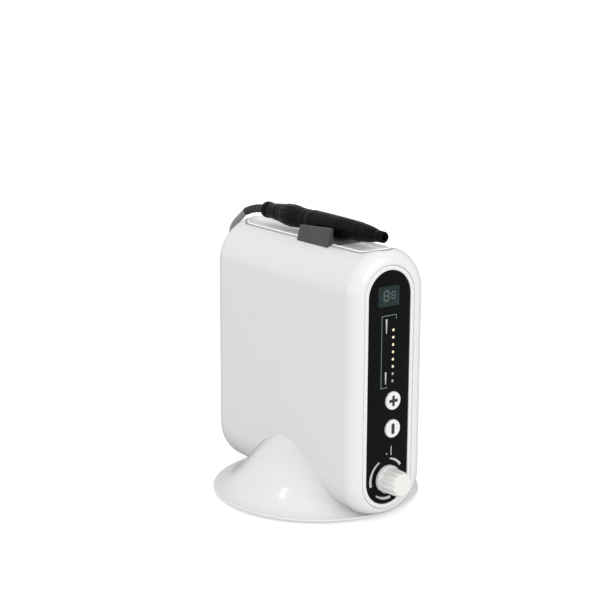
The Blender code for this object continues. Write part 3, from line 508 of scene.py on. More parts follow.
def lamp(name, colour, strength):
    """A lit lens, brighter in its middle than at its rim."""
    material, tree, shader, where = new_tree(name, colour, 0.2)
    facing = tree.nodes.new("ShaderNodeLayerWeight")
    facing.inputs["Blend"].default_value = 0.4
    grain = noise(tree, where, 1500, 2)
    glow = blend_colour(tree, facing.outputs["Facing"], colour, scaled(colour, 0.45))
    glow = blend_colour(tree, remap(tree, grain, 0, 0.2), glow, scaled(colour, 0.7))
    tree.links.new(glow, shader.inputs["Emission Color"])
    tree.links.new(glow, shader.inputs["Base Color"])
    shader.inputs["Emission Strength"].default_value = strength
    return material


def clear_plastic(name, colour):
    material, tree, shader, where = new_tree(name, colour, 0.15)
    haze = noise(tree, where, 200, 3)
    tree.links.new(remap(tree, haze, 0.1, 0.3), shader.inputs["Roughness"])
    bump(tree, shader, haze, 0.00003)
    shader.inputs["Transmission Weight"].default_value = 0.75
    shader.inputs["IOR"].default_value = 1.42
    return material


def make_materials():
    white = (0.8, 0.8, 0.805)
    made = {
        # Both white plastics get painted shade along their outlines (outline).
        "white_plastic": moulded("white_plastic", white, 0.22, 1400, 0.000004, 0.006, coat=0.35, outline=0.75),
        "warm_white_plastic": moulded("warm_white_plastic", (0.83, 0.82, 0.8), 0.3, 1600, 0.000006, 0.01, coat=0.2, outline=0.4),
        "black_lens": moulded("black_lens", (0.003, 0.0035, 0.004), 0.1, 700, 0.000002, 0.15, specular=0.09),
        "satin_black_plastic": moulded(
            "satin_black_plastic", (0.004, 0.004, 0.0045), 0.3, 2600, 0.00003, 0.15, wear=1.6, specular=0.055
        ),
        "grey_rubber": moulded("grey_rubber", (0.046, 0.045, 0.045), 0.55, 700, 0.0001, 0.18, sheen=0.1, wear=1.4),
        "hose_grey": moulded("hose_grey", (0.25, 0.26, 0.27), 0.42, 1800, 0.00002, 0.05, coat=0.1),
        "black_rubber": moulded("black_rubber", (0.02, 0.02, 0.02), 0.75, 1500, 0.00006, 0.2, sheen=0.15),
        "ceramic": moulded("ceramic", (0.78, 0.73, 0.63), 0.5, 1100, 0.00003, 0.05),
        "steel": machined("steel", (0.6, 0.6, 0.62), 0.28),
        "brass": machined("brass", (0.72, 0.52, 0.24), 0.26),
        "aluminium": machined("aluminium", (0.75, 0.76, 0.78), 0.36, (1, 1, 40)),
        "titanium": machined("titanium", (0.5, 0.48, 0.46), 0.34),
        "circuit_board": circuit_board("circuit_board", (0.02, 0.17, 0.07)),
        "laminated_core": laminated("laminated_core", (0.2, 0.18, 0.16)),
        "display_lens": display_glass("display_lens", (0.012, 0.022, 0.022)),
        "light_pipe": lamp("light_pipe", (0.75, 0.66, 0.46), 0.55),
        # Painted light: the unlit lenses glow faintly though they are not lit.
        "light_pipe_dim": lamp("light_pipe_dim", (0.42, 0.41, 0.39), 0.15),
        "clear_tube": clear_plastic("clear_tube", (0.8, 0.86, 0.9)),
        # Painted light: the tray's white is brighter than the body's so that its floor stays white in the shade under
        # the handpiece.
        "tray_painted_bright_white": moulded("tray_painted_bright_white", (0.97, 0.97, 0.97), 0.5, 1400, 0.000004, 0.006, coat=0.05),
        # Painted shade: a mid grey strip laid in the tray's groove where there is only shadow.
        "groove_shade_paint": moulded("groove_shade_paint", (0.42, 0.42, 0.425), 0.6, 1400, 0.00001, 0.06),
        "panel_ink": moulded("panel_ink", (0.52, 0.54, 0.55), 0.45, 2500, 0.000003, 0.05),
        "panel_line": moulded("panel_line", (0.16, 0.2, 0.2), 0.4, 2500, 0.000003, 0.05),
        "glyph_ink": moulded("glyph_ink", (0.02, 0.02, 0.02), 0.4, 2500, 0.000003, 0.1),
        "display_segment": lamp("display_segment", (0.07, 0.095, 0.09), 0.3),
    }
    return made


MATERIALS = make_materials()


# ---- body sleeve ----

def section(half, depth, low_centre, y, power=2.0, opening=0.0):
    """An upright stadium loop, from the right of an opening in its crest round to the left of it."""
    start = math.acos(opening / half)
    loop = []
    for step in range(CREST_STEPS + 1):
        angle = start * (1 - step / CREST_STEPS)
        loop.append((half * math.cos(angle), TOP_CENTRE + half * math.sin(angle)))
    for step in range(1, SIDE_STEPS):
        loop.append((half, TOP_CENTRE + (low_centre - TOP_CENTRE) * step / SIDE_STEPS))
    for step in range(LOW_STEPS + 1):
        angle = math.radians(90) * step / LOW_STEPS
        across = max(math.cos(angle), 0) ** (2 / power)
        loop.append((half * across, low_centre - depth * math.sin(angle) ** (2 / power)))
    loop += [(-x, z) for x, z in reversed(loop[:-1])]
    return [Vector((x, y, z)) for x, z in loop]


def body_size(y, offset=0.0, rim=RIM):
    """Half-width, depth below the lower centre, that centre's height and the lower arc's power at y."""
    front, back = FRONT - offset, BACK + offset
    ahead = min(max(y - front, 0) / (FRONT_SETBACK + offset), 1)
    behind = min(max(back - y, 0) / (BACK_SETBACK + offset), 1)
    fullness = math.sqrt(1 - (1 - ahead) ** 2) * math.sqrt(1 - (1 - behind) ** 2)
    run = (y - FRONT) / (BACK - FRONT)
    low_centre = LOW_CENTRE + (BACK_CENTRE - LOW_CENTRE) * max(run, 0) ** 2
    half = rim + fullness * (HALF + offset - rim)
    depth = rim + fullness * (low_centre - UNDERSIDE + offset - rim)
    return half, depth, low_centre, 2 + 0.2 * fullness * (1 - run)


def body_section(y, offset=0.0, rim=RIM, opening=0.0):
    half, depth, low_centre, power = body_size(y, offset, rim)
    return section(half, depth, low_centre, y, power, opening)


def round_section(radius, y, low_centre=LOW_CENTRE):
    return section(radius, radius, low_centre, y)


def crest(x, y):
    """Height of the body's top at x and y."""
    half = body_size(y)[0]
    return TOP_CENTRE + math.sqrt(max(half * half - x * x, 0))


def slot_width(y, radius):
    """Half-width at y of a slot with round ends."""
    past = max(SLOT_FRONT - y, y - SLOT_BACK, 0)
    return math.sqrt(max(radius * radius - past * past, 0))


def quarter(steps):
    return [math.radians(90) * step / steps for step in range(steps + 1)]


def housing_stations(radius):
    """Where the sleeve's sections stand: close together in its roundings and the slot's ends."""
    values = [SLOT_FRONT + (SLOT_BACK - SLOT_FRONT) * step / 16 for step in range(17)]
    for turn in quarter(FILLET_STEPS):
        values.append(FRONT + FRONT_SETBACK * (1 - math.cos(turn)))
        values.append(BACK - BACK_SETBACK * (1 - math.cos(turn)))
        values.append(SLOT_FRONT - radius * math.cos(turn))
        values.append(SLOT_BACK + radius * math.cos(turn))
    return sorted(set(round(value, 5) for value in values))


def inner_station(y, radius):
    """The inner skin's station that faces an outer one, so that the slot's wall runs straight across."""
    if y < SLOT_FRONT - radius:
        share = (y - FRONT) / (SLOT_FRONT - radius - FRONT)
        low = FRONT + WALL
        return low + share * (SLOT_FRONT - SLOT_HALF - low)
    if y < SLOT_FRONT:
        return SLOT_FRONT + (y - SLOT_FRONT) * SLOT_HALF / radius
    if y <= SLOT_BACK:
        return y
    if y <= SLOT_BACK + radius:
        return SLOT_BACK + (y - SLOT_BACK) * SLOT_HALF / radius
    share = (y - SLOT_BACK - radius) / (BACK - SLOT_BACK - radius)
    low = SLOT_BACK + SLOT_HALF
    return low + share * (BACK - RECESS - WALL - low)


def main_housing():
    """One closed moulding: outer skin, rounded rims, back recess, inner skin and the tray's slot."""
    radius = SLOT_HALF + LIP
    stations = housing_stations(radius)
    outer = [body_section(y, rim=RIM + EDGE, opening=slot_width(y, radius)) for y in stations]
    inside = [inner_station(y, radius) for y in stations]
    inner = [body_section(y, -WALL, opening=slot_width(y, SLOT_HALF)) for y in inside]
    turns = quarter(3)[1:]
    front_edge = [round_section(RIM + EDGE * (1 - math.sin(a)), FRONT + FRONT_EDGE * (1 - math.cos(a))) for a in turns]
    back_edge = []
    for turn in turns:
        reach = RIM + EDGE * (1 - math.sin(turn))
        back_edge.append(round_section(reach, BACK - EDGE * (1 - math.cos(turn)), BACK_CENTRE))
    recess = BACK - RECESS
    back_wall = [(RIM, recess), (BACK_OPENING, recess), (BACK_OPENING, recess - WALL), (RIM + WALL, recess - WALL)]
    back_wall = [round_section(reach, y, BACK_CENTRE) for reach, y in back_wall]
    shape = bmesh.new()
    skin(shape, front_edge[::-1] + outer + back_edge + back_wall + inner[::-1], closed=True, open_strip=True)
    for side in (0, -1):
        columns = []
        for out, into in zip(outer, inner):
            if slot_width(out[side].y, radius) == 0 and abs(out[side].y) < abs(SLOT_FRONT - radius) - 1:
                continue
            columns.append(slot_column(out[side], into[side]))
        inside_slot = [c for c in columns if SLOT_FRONT - radius - 1e-3 <= c[0].y <= SLOT_BACK + radius + 1e-3]
        skin(shape, inside_slot, open_strip=True)
    return finish_mesh("body_sleeve", shape, "main_housing")


def slot_column(outer, inner):
    """The slot's wall below one point of its edge: a rounded lip, then straight down."""
    inward = Vector((inner.x - outer.x, inner.y - outer.y, 0))
    column = [outer + inward * math.sin(turn) - Vector((0, 0, LIP * (1 - math.cos(turn)))) for turn in quarter(4)]
    return column + [inner]


def front_bezel():
    """The flat rim round the panel with softened edges, its seat and the collar behind it."""
    outer, front, back = RIM - 0.15, FRONT, PANEL_HIGH.y
    lip = FRONT + WALL + GAP
    board = box_mm("control_board")[0].y
    hole = PANEL_RADIUS + GAP
    profile = [(outer, front, 0.9), (outer, lip), (RIM + 0.5, lip), (RIM + 0.5, lip + 1.5), (17.9, lip + 1.5)]
    profile += [(17.9, board - GAP), (16.2, board - GAP), (16.2, back + GAP), (hole, back + GAP)]
    profile += [(hole, front, 0.4)]
    loops = [round_section(radius, y) for radius, y in smooth_corners(profile, closed=True, steps=5)]
    shape = bmesh.new()
    skin(shape, loops, closed=True, open_strip=True)
    return finish_mesh("front_bezel_rim", shape, "front_bezel")


def light_heights():
    count = 8
    low, high = LIGHTS_LOW.z + 2.5, LIGHTS_HIGH.z - 2.5
    return [low + (high - low) * number / (count - 1) for number in range(count)]


def light_x():
    return (LIGHTS_LOW.x + LIGHTS_HIGH.x) / 2


def centre_of(node):
    low, high = box_mm(node)
    return (low + high) / 2


def control_panel():
    """A polished black lens with a softened edge and openings for all that it carries."""
    front, back = PANEL_LOW.y, PANEL_HIGH.y
    profile = [(0.02, front), (PANEL_RADIUS, front, 0.4), (PANEL_RADIUS, back, 0.2), (0.02, back)]
    loops = [round_section(radius, y) for radius, y in smooth_corners(profile, steps=5)][1:-1]
    shape = bmesh.new()
    skin(shape, loops, open_strip=True)
    for y in (front, back):
        half_loop = round_section(PANEL_RADIUS - (0.4 if y == front else 0.2), y)
        shape.faces.new([shape.verts.new(point) for point in half_loop[:-1]])
    panel = finish_mesh("panel_lens", shape, "control_panel")
    low, high = box_mm("display_window")
    size = (high.x - low.x + 0.4, high.z - low.z + 0.4)
    middle = centre_of("display_window")
    outlines = [rounded_outline((middle.x, middle.z), size, 0.8)]
    for key in ("plus_button", "minus_button"):
        centre = centre_of(key)
        outlines.append(disc_outline((centre.x, centre.z), 6.4 + GAP, 56))
    outlines.append(disc_outline((0, KNOB_Z), 4.2))
    outlines += [disc_outline((light_x(), z), 1.15, 24) for z in light_heights()]
    cut(panel, cutter(outlines, front - 1, back + 1))
    return panel


def display():
    """The tinted window, and a digit's segments that show through it."""
    low, high = box_mm("display_window")
    middle = centre_of("display_window")
    shape = bmesh.new()
    prism(shape, rounded_outline((middle.x, middle.z), (high.x - low.x, high.z - low.z), 0.6), low.y, high.y)
    window = finish_mesh("display_glass", shape, "display_window")
    soften(window, 0.12)
    shape = bmesh.new()
    for lean, half, tall, thick in ((-2.2, 2.1, 3.3, 0.62), (3.6, 1.5, 2.4, 0.42)):
        for segment in digit_segments(middle.x + lean, middle.z + 0.4, half, tall, thick):
            prism(shape, segment, low.y - 0.02, low.y + 0.04)
    finish_mesh("display_digits", shape, "display_window", nodes=[], slot="display_lens").data.materials[0] = (
        MATERIALS["display_segment"]
    )


def digit_segments(x, z, half, height, thick):
    """The bars of a seven-segment eight about x and z, each with pointed ends."""
    bars = []
    for level in (-height, 0, height):
        ends = half - 0.15
        bars.append([(x - ends, z + level), (x - ends + thick, z + level + thick), (x + ends - thick, z + level + thick),
                     (x + ends, z + level), (x + ends - thick, z + level - thick), (x - ends + thick, z + level - thick)])
    for side in (-half, half):
        for low in (-height, 0):
            bottom, top = z + low + 0.15, z + low + height - 0.15
            bars.append([(x + side, bottom), (x + side + thick, bottom + thick), (x + side + thick, top - thick),
                         (x + side, top), (x + side - thick, top - thick), (x + side - thick, bottom + thick)])
    return bars


def light_lenses():
    """The lit ends of the light pipe: domes in the panel, with the comb that joins them behind it."""
    front = PANEL_LOW.y
    lit = bmesh.new()
    dim = bmesh.new()
    for number, z in enumerate(light_heights()):
        profile = [(0, front - 0.12), (0.6, front - 0.06), (0.95, front + 0.1), (1.0, front + 0.4), (1.0, front + 2.9)]
        revolve(dim if number < 2 else lit, profile + [(0, front + 2.9)], (light_x(), 0, z), segments=28)
    add_box(lit, (LIGHTS_LOW.x, LIGHTS_HIGH.y - 1.5, LIGHTS_LOW.z), LIGHTS_HIGH)
    finish_mesh("bar_lights", lit, "light_pipe")
    # The two unlit lenses carry a faint painted glow.
    thing = finish_mesh("bar_lights_unlit", dim, "light_pipe", nodes=[])
    thing.data.materials[0] = MATERIALS["light_pipe_dim"]


# ---- what is printed on the panel ----

def arc_band(start, end, radius, thick_start, thick_end, steps=28):
    """A tapered arc about the knob, from start to end degrees."""
    inner, outer = [], []
    for step in range(steps + 1):
        share = step / steps
        turn = math.radians(start + (end - start) * share)
        thick = thick_start + (thick_end - thick_start) * share
        inner.append(((radius - thick / 2) * math.cos(turn), KNOB_Z + (radius - thick / 2) * math.sin(turn)))
        outer.append(((radius + thick / 2) * math.cos(turn), KNOB_Z + (radius + thick / 2) * math.sin(turn)))
    return inner + outer[::-1]


def bar(x0, z0, x1, z1):
    return [(x0, z0), (x1, z0), (x1, z1), (x0, z1)]


def panel_print():
    """Ink on the lens: a bracket beside the lights, level wedges at its ends and the knob's sweep marks."""
    front = PANEL_LOW.y
    column = light_x() - 10.2
    top, bottom = LIGHTS_HIGH.z + 8.3, LIGHTS_LOW.z - 1.6
    shape = bmesh.new()
    for outline in (
        bar(column - 0.25, bottom, column + 0.25, top),
        bar(column + 0.25, top - 0.5, column + 12.6, top),
        bar(column + 12.1, top - 3.4, column + 12.6, top - 0.5),
        bar(column + 0.25, bottom, column + 5.9, bottom + 0.5),
    ):
        prism(shape, outline, front - 0.03, front + 0.05)
    line = finish_mesh("panel_bracket", shape, "control_panel", nodes=[])
    line.data.materials[0] = MATERIALS["panel_line"]
    shape = bmesh.new()
    for low, high in ((top - 12.6, top - 2.6), (bottom + 2.6, bottom + 11.2)):
        wedge = [(column + 3.7, low), (column + 4.3, low), (column + 4.7, high), (column + 3.2, high)]
        prism(shape, wedge, front - 0.03, front + 0.05)
    minus = centre_of("minus_button")
    prism(shape, bar(minus.x - 0.75, KNOB_Z + 16.3, minus.x - 0.05, KNOB_Z + 22.8), front - 0.03, front + 0.05)
    prism(shape, disc_outline((-0.4, KNOB_Z + 17.8), 0.55, 20), front - 0.03, front + 0.05)
    for sweep in ((118, 195, 14.3, 1.1, 2.2), (80, 34, 14.2, 1.0, 2.0), (230, 284, 14.2, 1.2, 2.2)):
        prism(shape, arc_band(*sweep), front - 0.03, front + 0.05)
    ink = finish_mesh("panel_marks", shape, "control_panel", nodes=[])
    ink.data.materials[0] = MATERIALS["panel_ink"]


# ---- keys and knob ----

def key_button(node, glyph):
    """A round key with a shallow dish, and its sign as a raised inlay."""
    low, high = box_mm(node)
    centre = centre_of(node)
    front, radius = low.y, 6.4
    flange = PANEL_HIGH.y + GAP
    profile = [(0, front + 0.12), (2.5, front + 0.1), (4.2, front + 0.02), (5.0, front), (radius, front, 0.7)]
    profile += [(radius, flange), (7.3, flange), (7.3, flange + 0.8), (2.0, flange + 0.8), (2.0, high.y), (0, high.y)]
    turned(node + "_cap", profile, node, (centre.x, 0, centre.z), segments=72, steps=6)
    shape = bmesh.new()
    for outline in glyph(centre.x, centre.z):
        prism(shape, outline, front - 0.02, front + 0.3)
    sign = finish_mesh(node + "_sign", shape, node, nodes=[])
    sign.data.materials[0] = MATERIALS["glyph_ink"]


def plus_sign(x, z):
    arm, half = 3.7, 1.05
    outline = [(half, half), (half, arm), (-half, arm), (-half, half), (-arm, half), (-arm, -half)]
    outline += [(-half, -half), (-half, -arm), (half, -arm), (half, -half), (arm, -half), (arm, half)]
    return [[(x + across, z + up) for across, up in outline]]


def minus_sign(x, z):
    return [rounded_outline((x, z), (2.6, 7.6), 0.9, 5)]


def water_knob():
    """A fluted knob on a round skirt, hollow behind, with a dark pointer in the skirt."""
    front, back = KNOB_LOW.y, KNOB_HIGH.y
    skirt_front = -84.2
    skirt = KNOB_HIGH.x

    def flutes(turn, position):
        share = min(max((-85.3 - position) / 1.6, 0), 1) * min(max((position - front + 0.3) / 1.2, 0), 1)
        return -0.85 * share * (0.5 + 0.5 * math.cos(12 * turn)) ** 1.2

    profile = [(0, front + 0.25), (3.0, front + 0.2), (5.8, front + 0.05), (8.1, front, 1.1), (8.85, front + 2.6)]
    profile += [(9.05, -93.0), (9.25, -88.0), (9.35, -85.9), (9.6, -85.1), (skirt, skirt_front, 0.35)]
    profile += [(skirt, back), (8.2, back), (8.2, -84.9), (2.3, -84.9), (2.3, -95.3), (0, -95.3)]
    turned("water_knob_cap", profile, "water_knob", (0, 0, KNOB_Z), segments=144, steps=6, wave=flutes)
    angle = math.radians(225)
    shape = bmesh.new()
    out = Vector((math.cos(angle), math.sin(angle)))
    across = Vector((-out.y, out.x))
    middle = Vector((0, KNOB_Z))
    corners = [out * 8.9 + across * 0.45, out * (skirt + 0.02) + across * 0.7]
    corners += [out * (skirt + 0.02) - across * 0.7, out * 8.9 - across * 0.45]
    prism(shape, [tuple(middle + corner) for corner in corners], -84.75, back - 0.2)
    pointer = finish_mesh("water_knob_pointer", shape, "water_knob", nodes=[])
    pointer.data.materials[0] = MATERIALS["glyph_ink"]


# ---- tray, holder ----

def slot_ring(radius, height, steps=26):
    """A ring round the tray at a distance from its middle line; height may follow the crest."""
    ring = []
    for centre, start in ((SLOT_BACK, 0), (SLOT_FRONT, 180)):
        for step in range(steps + 1):
            turn = math.radians(start + 180 * step / steps)
            x = radius * math.cos(turn)
            y = centre + radius * math.sin(turn)
            ring.append(Vector((x, y, height(x, y))))
        other = SLOT_FRONT if centre == SLOT_BACK else SLOT_BACK
        for step in range(1, 14):
            y = centre + (other - centre) * step / 14
            x = radius * math.cos(math.radians(start + 180))
            ring.append(Vector((x, y, height(x, y))))
    return ring


def top_tray():
    """A long shallow pan: its soft rim follows the crest and its floor has a rounded foot."""
    outer = TRAY_HIGH.x - 0.5
    inner = TRAY_HIGH.x - TRAY_RIM
    under = TRAY_LOW.z
    rings = [slot_ring(outer, lambda x, y: under)]
    for turn in quarter(5):
        drop = 0.7 * (1 - math.sin(turn))
        rings.append(slot_ring(outer - 0.7 * (1 - math.cos(turn)), lambda x, y: crest(x, y) - drop))
    for turn in quarter(5):
        drop = 0.9 * (1 - math.cos(turn))
        rings.append(slot_ring(inner + 0.9 * (1 - math.sin(turn)), lambda x, y: crest(x, y) - drop))
    for turn in quarter(5):
        rise = 0.9 * (1 - math.sin(turn))
        rings.append(slot_ring(inner - 0.9 * (1 - math.cos(turn)), lambda x, y: TRAY_FLOOR + rise))
    shape = bmesh.new()
    skin(shape, rings, caps=True)
    pan = finish_mesh("tray_pan", shape, "top_tray")
    # The pan gets the brighter white, painted light against the handpiece's shade.
    pan.data.materials[0] = MATERIALS["tray_painted_bright_white"]
    # The groove round the tray gets a strip of painted shade.
    painted_groove_shade(outer)
    return pan


def painted_groove_shade(inner):
    """A soft grey strip in the groove round the tray: painted shade that stands for the groove's shadow."""
    outer = SLOT_HALF - 0.02
    rings = []
    for radius, drop in ((inner + 0.02, 1.6), (inner + 0.02, 0.4), (outer, 0.4), (outer, 1.6)):
        rings.append(slot_ring(radius, lambda x, y: crest(x, y) - drop))
    shape = bmesh.new()
    skin(shape, rings, closed=True)
    groove_shade_paint = finish_mesh("painted_groove_shade", shape, "top_tray", nodes=[])
    groove_shade_paint.data.materials[0] = MATERIALS["groove_shade_paint"]


def mirrored(half):
    """A closed outline from its right half, which runs from the bottom up and back down inside."""
    return half + [(-x, z) for x, z in reversed(half)]


def cheek_top(y):
    """Height of the holder's cheeks, which rise towards the front."""
    low, high = box_mm("handpiece_holder")
    return high.z - HOLDER_RISE * (y - low.y) / (high.y - low.y)


def holder_section(y):
    """The clip's outline: a strap in the tray and cheeks that lean in over its rims, with round tops."""
    half = box_mm("handpiece_holder")[1].x
    foot = TRAY_HIGH.x - TRAY_RIM - GAP
    top = cheek_top(y)
    edge = [foot + (half - foot) * step / 10 for step in range(11)]
    outline = [(foot, TRAY_FLOOR + GAP + 0.3), (foot, crest(foot, 0) + GAP - 0.2)]
    outline += [(x, crest(x, 0) + GAP) for x in edge]
    hem = outline[-1][1]
    outline.append((half + 0.02, hem + 0.5))
    reach = half - 0.25 * (top - hem)
    middle = reach - 1.0
    for step in range(9):
        turn = math.pi * step / 8
        outline.append((middle + 1.1 * math.cos(turn) + 0.12, top - 1.1 + 1.1 * math.sin(turn)))
    return outline + [(12.4, 193.8), (12.1, 192.6), (11.5, 191.5), (10.6, 190.6), (9.4, 190.05), (7.5, HOLDER_STRAP)]


def handpiece_holder():
    """A soft clip with thin cheeks, and a block between them whose round groove carries the handpiece."""
    low, high = box_mm("handpiece_holder")
    steps = 24
    loops = []
    for step in range(steps + 1):
        y = low.y + (high.y - low.y) * step / steps
        loops.append([Vector((x, y, z)) for x, z in mirrored(holder_section(y))])
    shape = bmesh.new()
    skin(shape, loops, caps=True)
    holder = finish_mesh("holder_saddle", shape, "handpiece_holder")
    seats = bmesh.new()
    for number in (1, 2):
        place = centre_of(f"holder_screw_{number}")
        revolve(seats, [(0, SCREW_SEAT), (2.9, SCREW_SEAT), (2.9, 192.0), (0, 192.0)], place, "Z", 40)
        revolve(seats, [(0, 180.0), (1.5, 180.0), (1.5, SCREW_SEAT + 0.1), (0, SCREW_SEAT + 0.1)], place, "Z", 32)
    cut(holder, shape_cutter(seats))
    soften(holder, 0.25, 3, 50)
    groove = 8.0
    top = HANDPIECE_Z - 3
    reach = math.asin((HANDPIECE_Z - top) / groove)
    half = [(10.0, 189.0), (13.2, 191.0), (13.2, top)]
    for step in range(17):
        angle = -reach - (math.pi / 2 - reach) * step / 16
        half.append((groove * math.cos(angle), HANDPIECE_Z + groove * math.sin(angle)))
    shape = bmesh.new()
    prism(shape, half[:-1] + [(0, HANDPIECE_Z - groove)] + [(-x, z) for x, z in reversed(half[:-1])], -25.5, -10.0)
    cradle = finish_mesh("holder_cradle", shape, "handpiece_holder", nodes=[])
    soften(cradle, 0.5, 4, 40)
    return holder


# ---- handpiece ----

def grooved(curve, start, end, grooves, width=0.7, depth=0.25, step=2.5):
    """Profile points of curve(position) from start to end, with a round groove at each given place."""
    places = {start: 0, end: 0}
    position = start + step
    while position < end - 0.3:
        if all(abs(position - groove) > width for groove in grooves):
            places[position] = 0
        position += step
    for groove in grooves:
        for shift, share in ((-0.5, 0), (-0.35, 0.6), (-0.15, 1), (0.15, 1), (0.35, 0.6), (0.5, 0)):
            places[groove + shift * width] = share * depth
    return [(curve(position) - places[position], position) for position in sorted(places)]


def nose_cap():
    low, high = box_mm("nose_cap")
    radius = high.x
    profile = [(2.2, low.y), (radius - 0.55, low.y, 0.3)]
    profile += grooved(lambda y: radius - 0.2 * (high.y - y) / 8, low.y + 0.7, high.y - 0.35,
                       [low.y + 2.2, low.y + 3.3, low.y + 4.4], 0.6, 0.2)
    profile += [(radius, high.y, 0.2), (2.2, high.y)]
    turned("nose_tip", profile, "nose_cap", (0, 0, HANDPIECE_Z), ring=True)


def nose_cone():
    low, high = box_mm("nose_cone")

    def flare(y):
        share = (y - low.y) / (high.y - low.y)
        return 4.4 + (high.x - 4.4) * math.sin(share * math.pi / 2) ** 0.9

    profile = [(3.5, low.y)] + grooved(flare, low.y, high.y, [high.y - 2.2], 0.8, 0.25, 1.2) + [(3.5, high.y)]
    turned("nose_taper", profile, "nose_cone", (0, 0, HANDPIECE_Z), ring=True)


def grip_sleeve():
    low, high = GRIP_LOW, GRIP_HIGH
    length = high.y - low.y

    def swell(y):
        return high.x - (1 - (y - low.y) / length) ** 2

    grooves = [low.y + 4.5 + 2.1 * number for number in range(9)] + [high.y - 3.0, high.y - 4.6]
    profile = [(5.6, low.y), (swell(low.y), low.y, 0.3)] + grooved(swell, low.y + 1, high.y - 1, grooves)
    profile += [(high.x, high.y, 0.3), (5.6, high.y)]
    turned("grip", profile, "grip_sleeve", (0, 0, HANDPIECE_Z), ring=True, segments=72)


def tail_sleeve():
    low, high = box_mm("tail_sleeve")
    radius = high.x
    front = GRIP_HIGH.y + SEAM
    back = PLUG_SHOULDER - SEAM

    def knurl(turn, position):
        inside = low.y + 1.2 < position < low.y + 5.8
        return -0.14 * (0.5 + 0.5 * math.cos(36 * turn)) if inside else 0

    profile = [(5.6, front), (radius, front, 0.2), (radius, low.y + 1.0), (radius, low.y + 1.3)]
    profile += [(radius, low.y + 5.7), (radius, low.y + 6.0), (radius - 0.3, back, 0.3), (5.6, back)]
    turned("tail_ring", profile, "tail_sleeve", (0, 0, HANDPIECE_Z), ring=True, segments=216, wave=knurl)


def hose_plug():
    """A bulged connector with long finger flutes over its swell."""
    low, high = box_mm("hose_plug")
    shoulder = PLUG_SHOULDER
    radius = high.x

    def shape_of(y):
        knots = [(shoulder, 7.2), (20, 7.5), (26, 8.2), (30, radius), (34, 8.1), (40, 7.2), (46, 6.5), (53, 5.8)]
        knots.append((high.y, 5.6))
        for (y0, r0), (y1, r1) in zip(knots, knots[1:]):
            if y <= y1:
                share = (y - y0) / (y1 - y0)
                return r0 + (r1 - r0) * share * share * (3 - 2 * share)
        return knots[-1][1]

    def flutes(turn, position):
        share = min(max((position - 22) / 3, 0), 1) * min(max((40 - position) / 4, 0), 1)
        return -0.35 * share * (0.5 + 0.5 * math.cos(14 * turn)) ** 2

    profile = [(0, low.y), (3.6, low.y, 0.4), (3.6, shoulder), (7.2, shoulder, 0.3)]
    profile += grooved(shape_of, shoulder + 0.6, high.y - 0.5, [17.6, 43.5, 45.0, 50.5], 0.8, 0.3, 1.5)
    profile += [(5.6, high.y, 0.3), (0, high.y)]
    turned("plug_shell", profile, "hose_plug", (0, 0, HANDPIECE_Z), segments=112, wave=flutes)


def plug_collar():
    low, high = box_mm("plug_collar")
    radius = high.x
    profile = [(3.7, low.y), (radius - 0.4, low.y, 0.2), (radius, low.y + 1, 0.3)]
    profile += grooved(lambda y: radius, low.y + 1.5, high.y - 2, [low.y + 2.6], 0.8, 0.25)
    profile += [(radius, high.y - 1.5, 0.4), (radius - 0.7, high.y, 0.3), (3.7, high.y)]
    turned("collar_ring", profile, "plug_collar", (0, 0, HANDPIECE_Z), ring=True)


def walk(start, heading, moves):
    """Points and headings in the middle plane; heading is degrees below level, a move is (length, turn)."""
    y, z = start
    path = [(y, z, heading)]
    for length, turn in moves:
        pieces = max(1, round(max(abs(turn) / 4, length / 4)))
        for _ in range(pieces):
            heading += turn / pieces / 2
            y += length / pieces * math.cos(math.radians(heading))
            z -= length / pieces * math.sin(math.radians(heading))
            heading += turn / pieces / 2
            path.append((y, z, heading))
    return path


def along(path, step):
    """The path walked again at an even step, as (distance, y, z, heading)."""
    out = []
    done = 0.0
    for (y0, z0, h0), (y1, z1, h1) in zip(path, path[1:]):
        length = math.hypot(y1 - y0, z1 - z0)
        count = max(1, round(length / step))
        for i in range(count):
            share = i / count
            out.append((done + length * share, y0 + (y1 - y0) * share, z0 + (z1 - z0) * share, h0 + (h1 - h0) * share))
        done += length
    y, z, heading = path[-1]
    out.append((done, y, z, heading))
    return out


def sweep(shape, stations, radius, segments=28):
    """A round bar along stations in the middle plane; radius is a function of distance."""
    loops = []
    for distance, y, z, heading in stations:
        slope = math.radians(heading)
        up = Vector((0, math.sin(slope), math.cos(slope)))
        reach = radius(distance)
        turns = [math.tau * step / segments for step in range(segments)]
        side = [Vector((1, 0, 0)) * math.cos(turn) + up * math.sin(turn) for turn in turns]
        loops.append([Vector((0, y, z)) + reach * way for way in side])
    skin(shape, loops, caps=True)


def relief_path():
    start = box_mm("strain_relief")[0].y
    bend = RELIEF_BEND * math.radians(RELIEF_SLANT)
    return walk((start, HANDPIECE_Z), 0, [(RELIEF_STRAIGHT, 0), (bend, RELIEF_SLANT)])


def strain_relief():
    """A ribbed sleeve that bends with the hose and thins towards its end."""
    stations = along(relief_path(), 0.3)
    length = stations[-1][0]
    radius = 3.3

    def ribs(distance):
        base = radius - 0.35 * distance / length
        if distance < 6.5 or distance > length - 1.2:
            return base
        return base - 0.45 * (0.5 - 0.5 * math.cos(math.tau * (distance - 6.5) / 1.9)) ** 0.6

    shape = bmesh.new()
    sweep(shape, stations, ribs, 32)
    return finish_mesh("relief_sleeve", shape, "strain_relief", sharp=70)


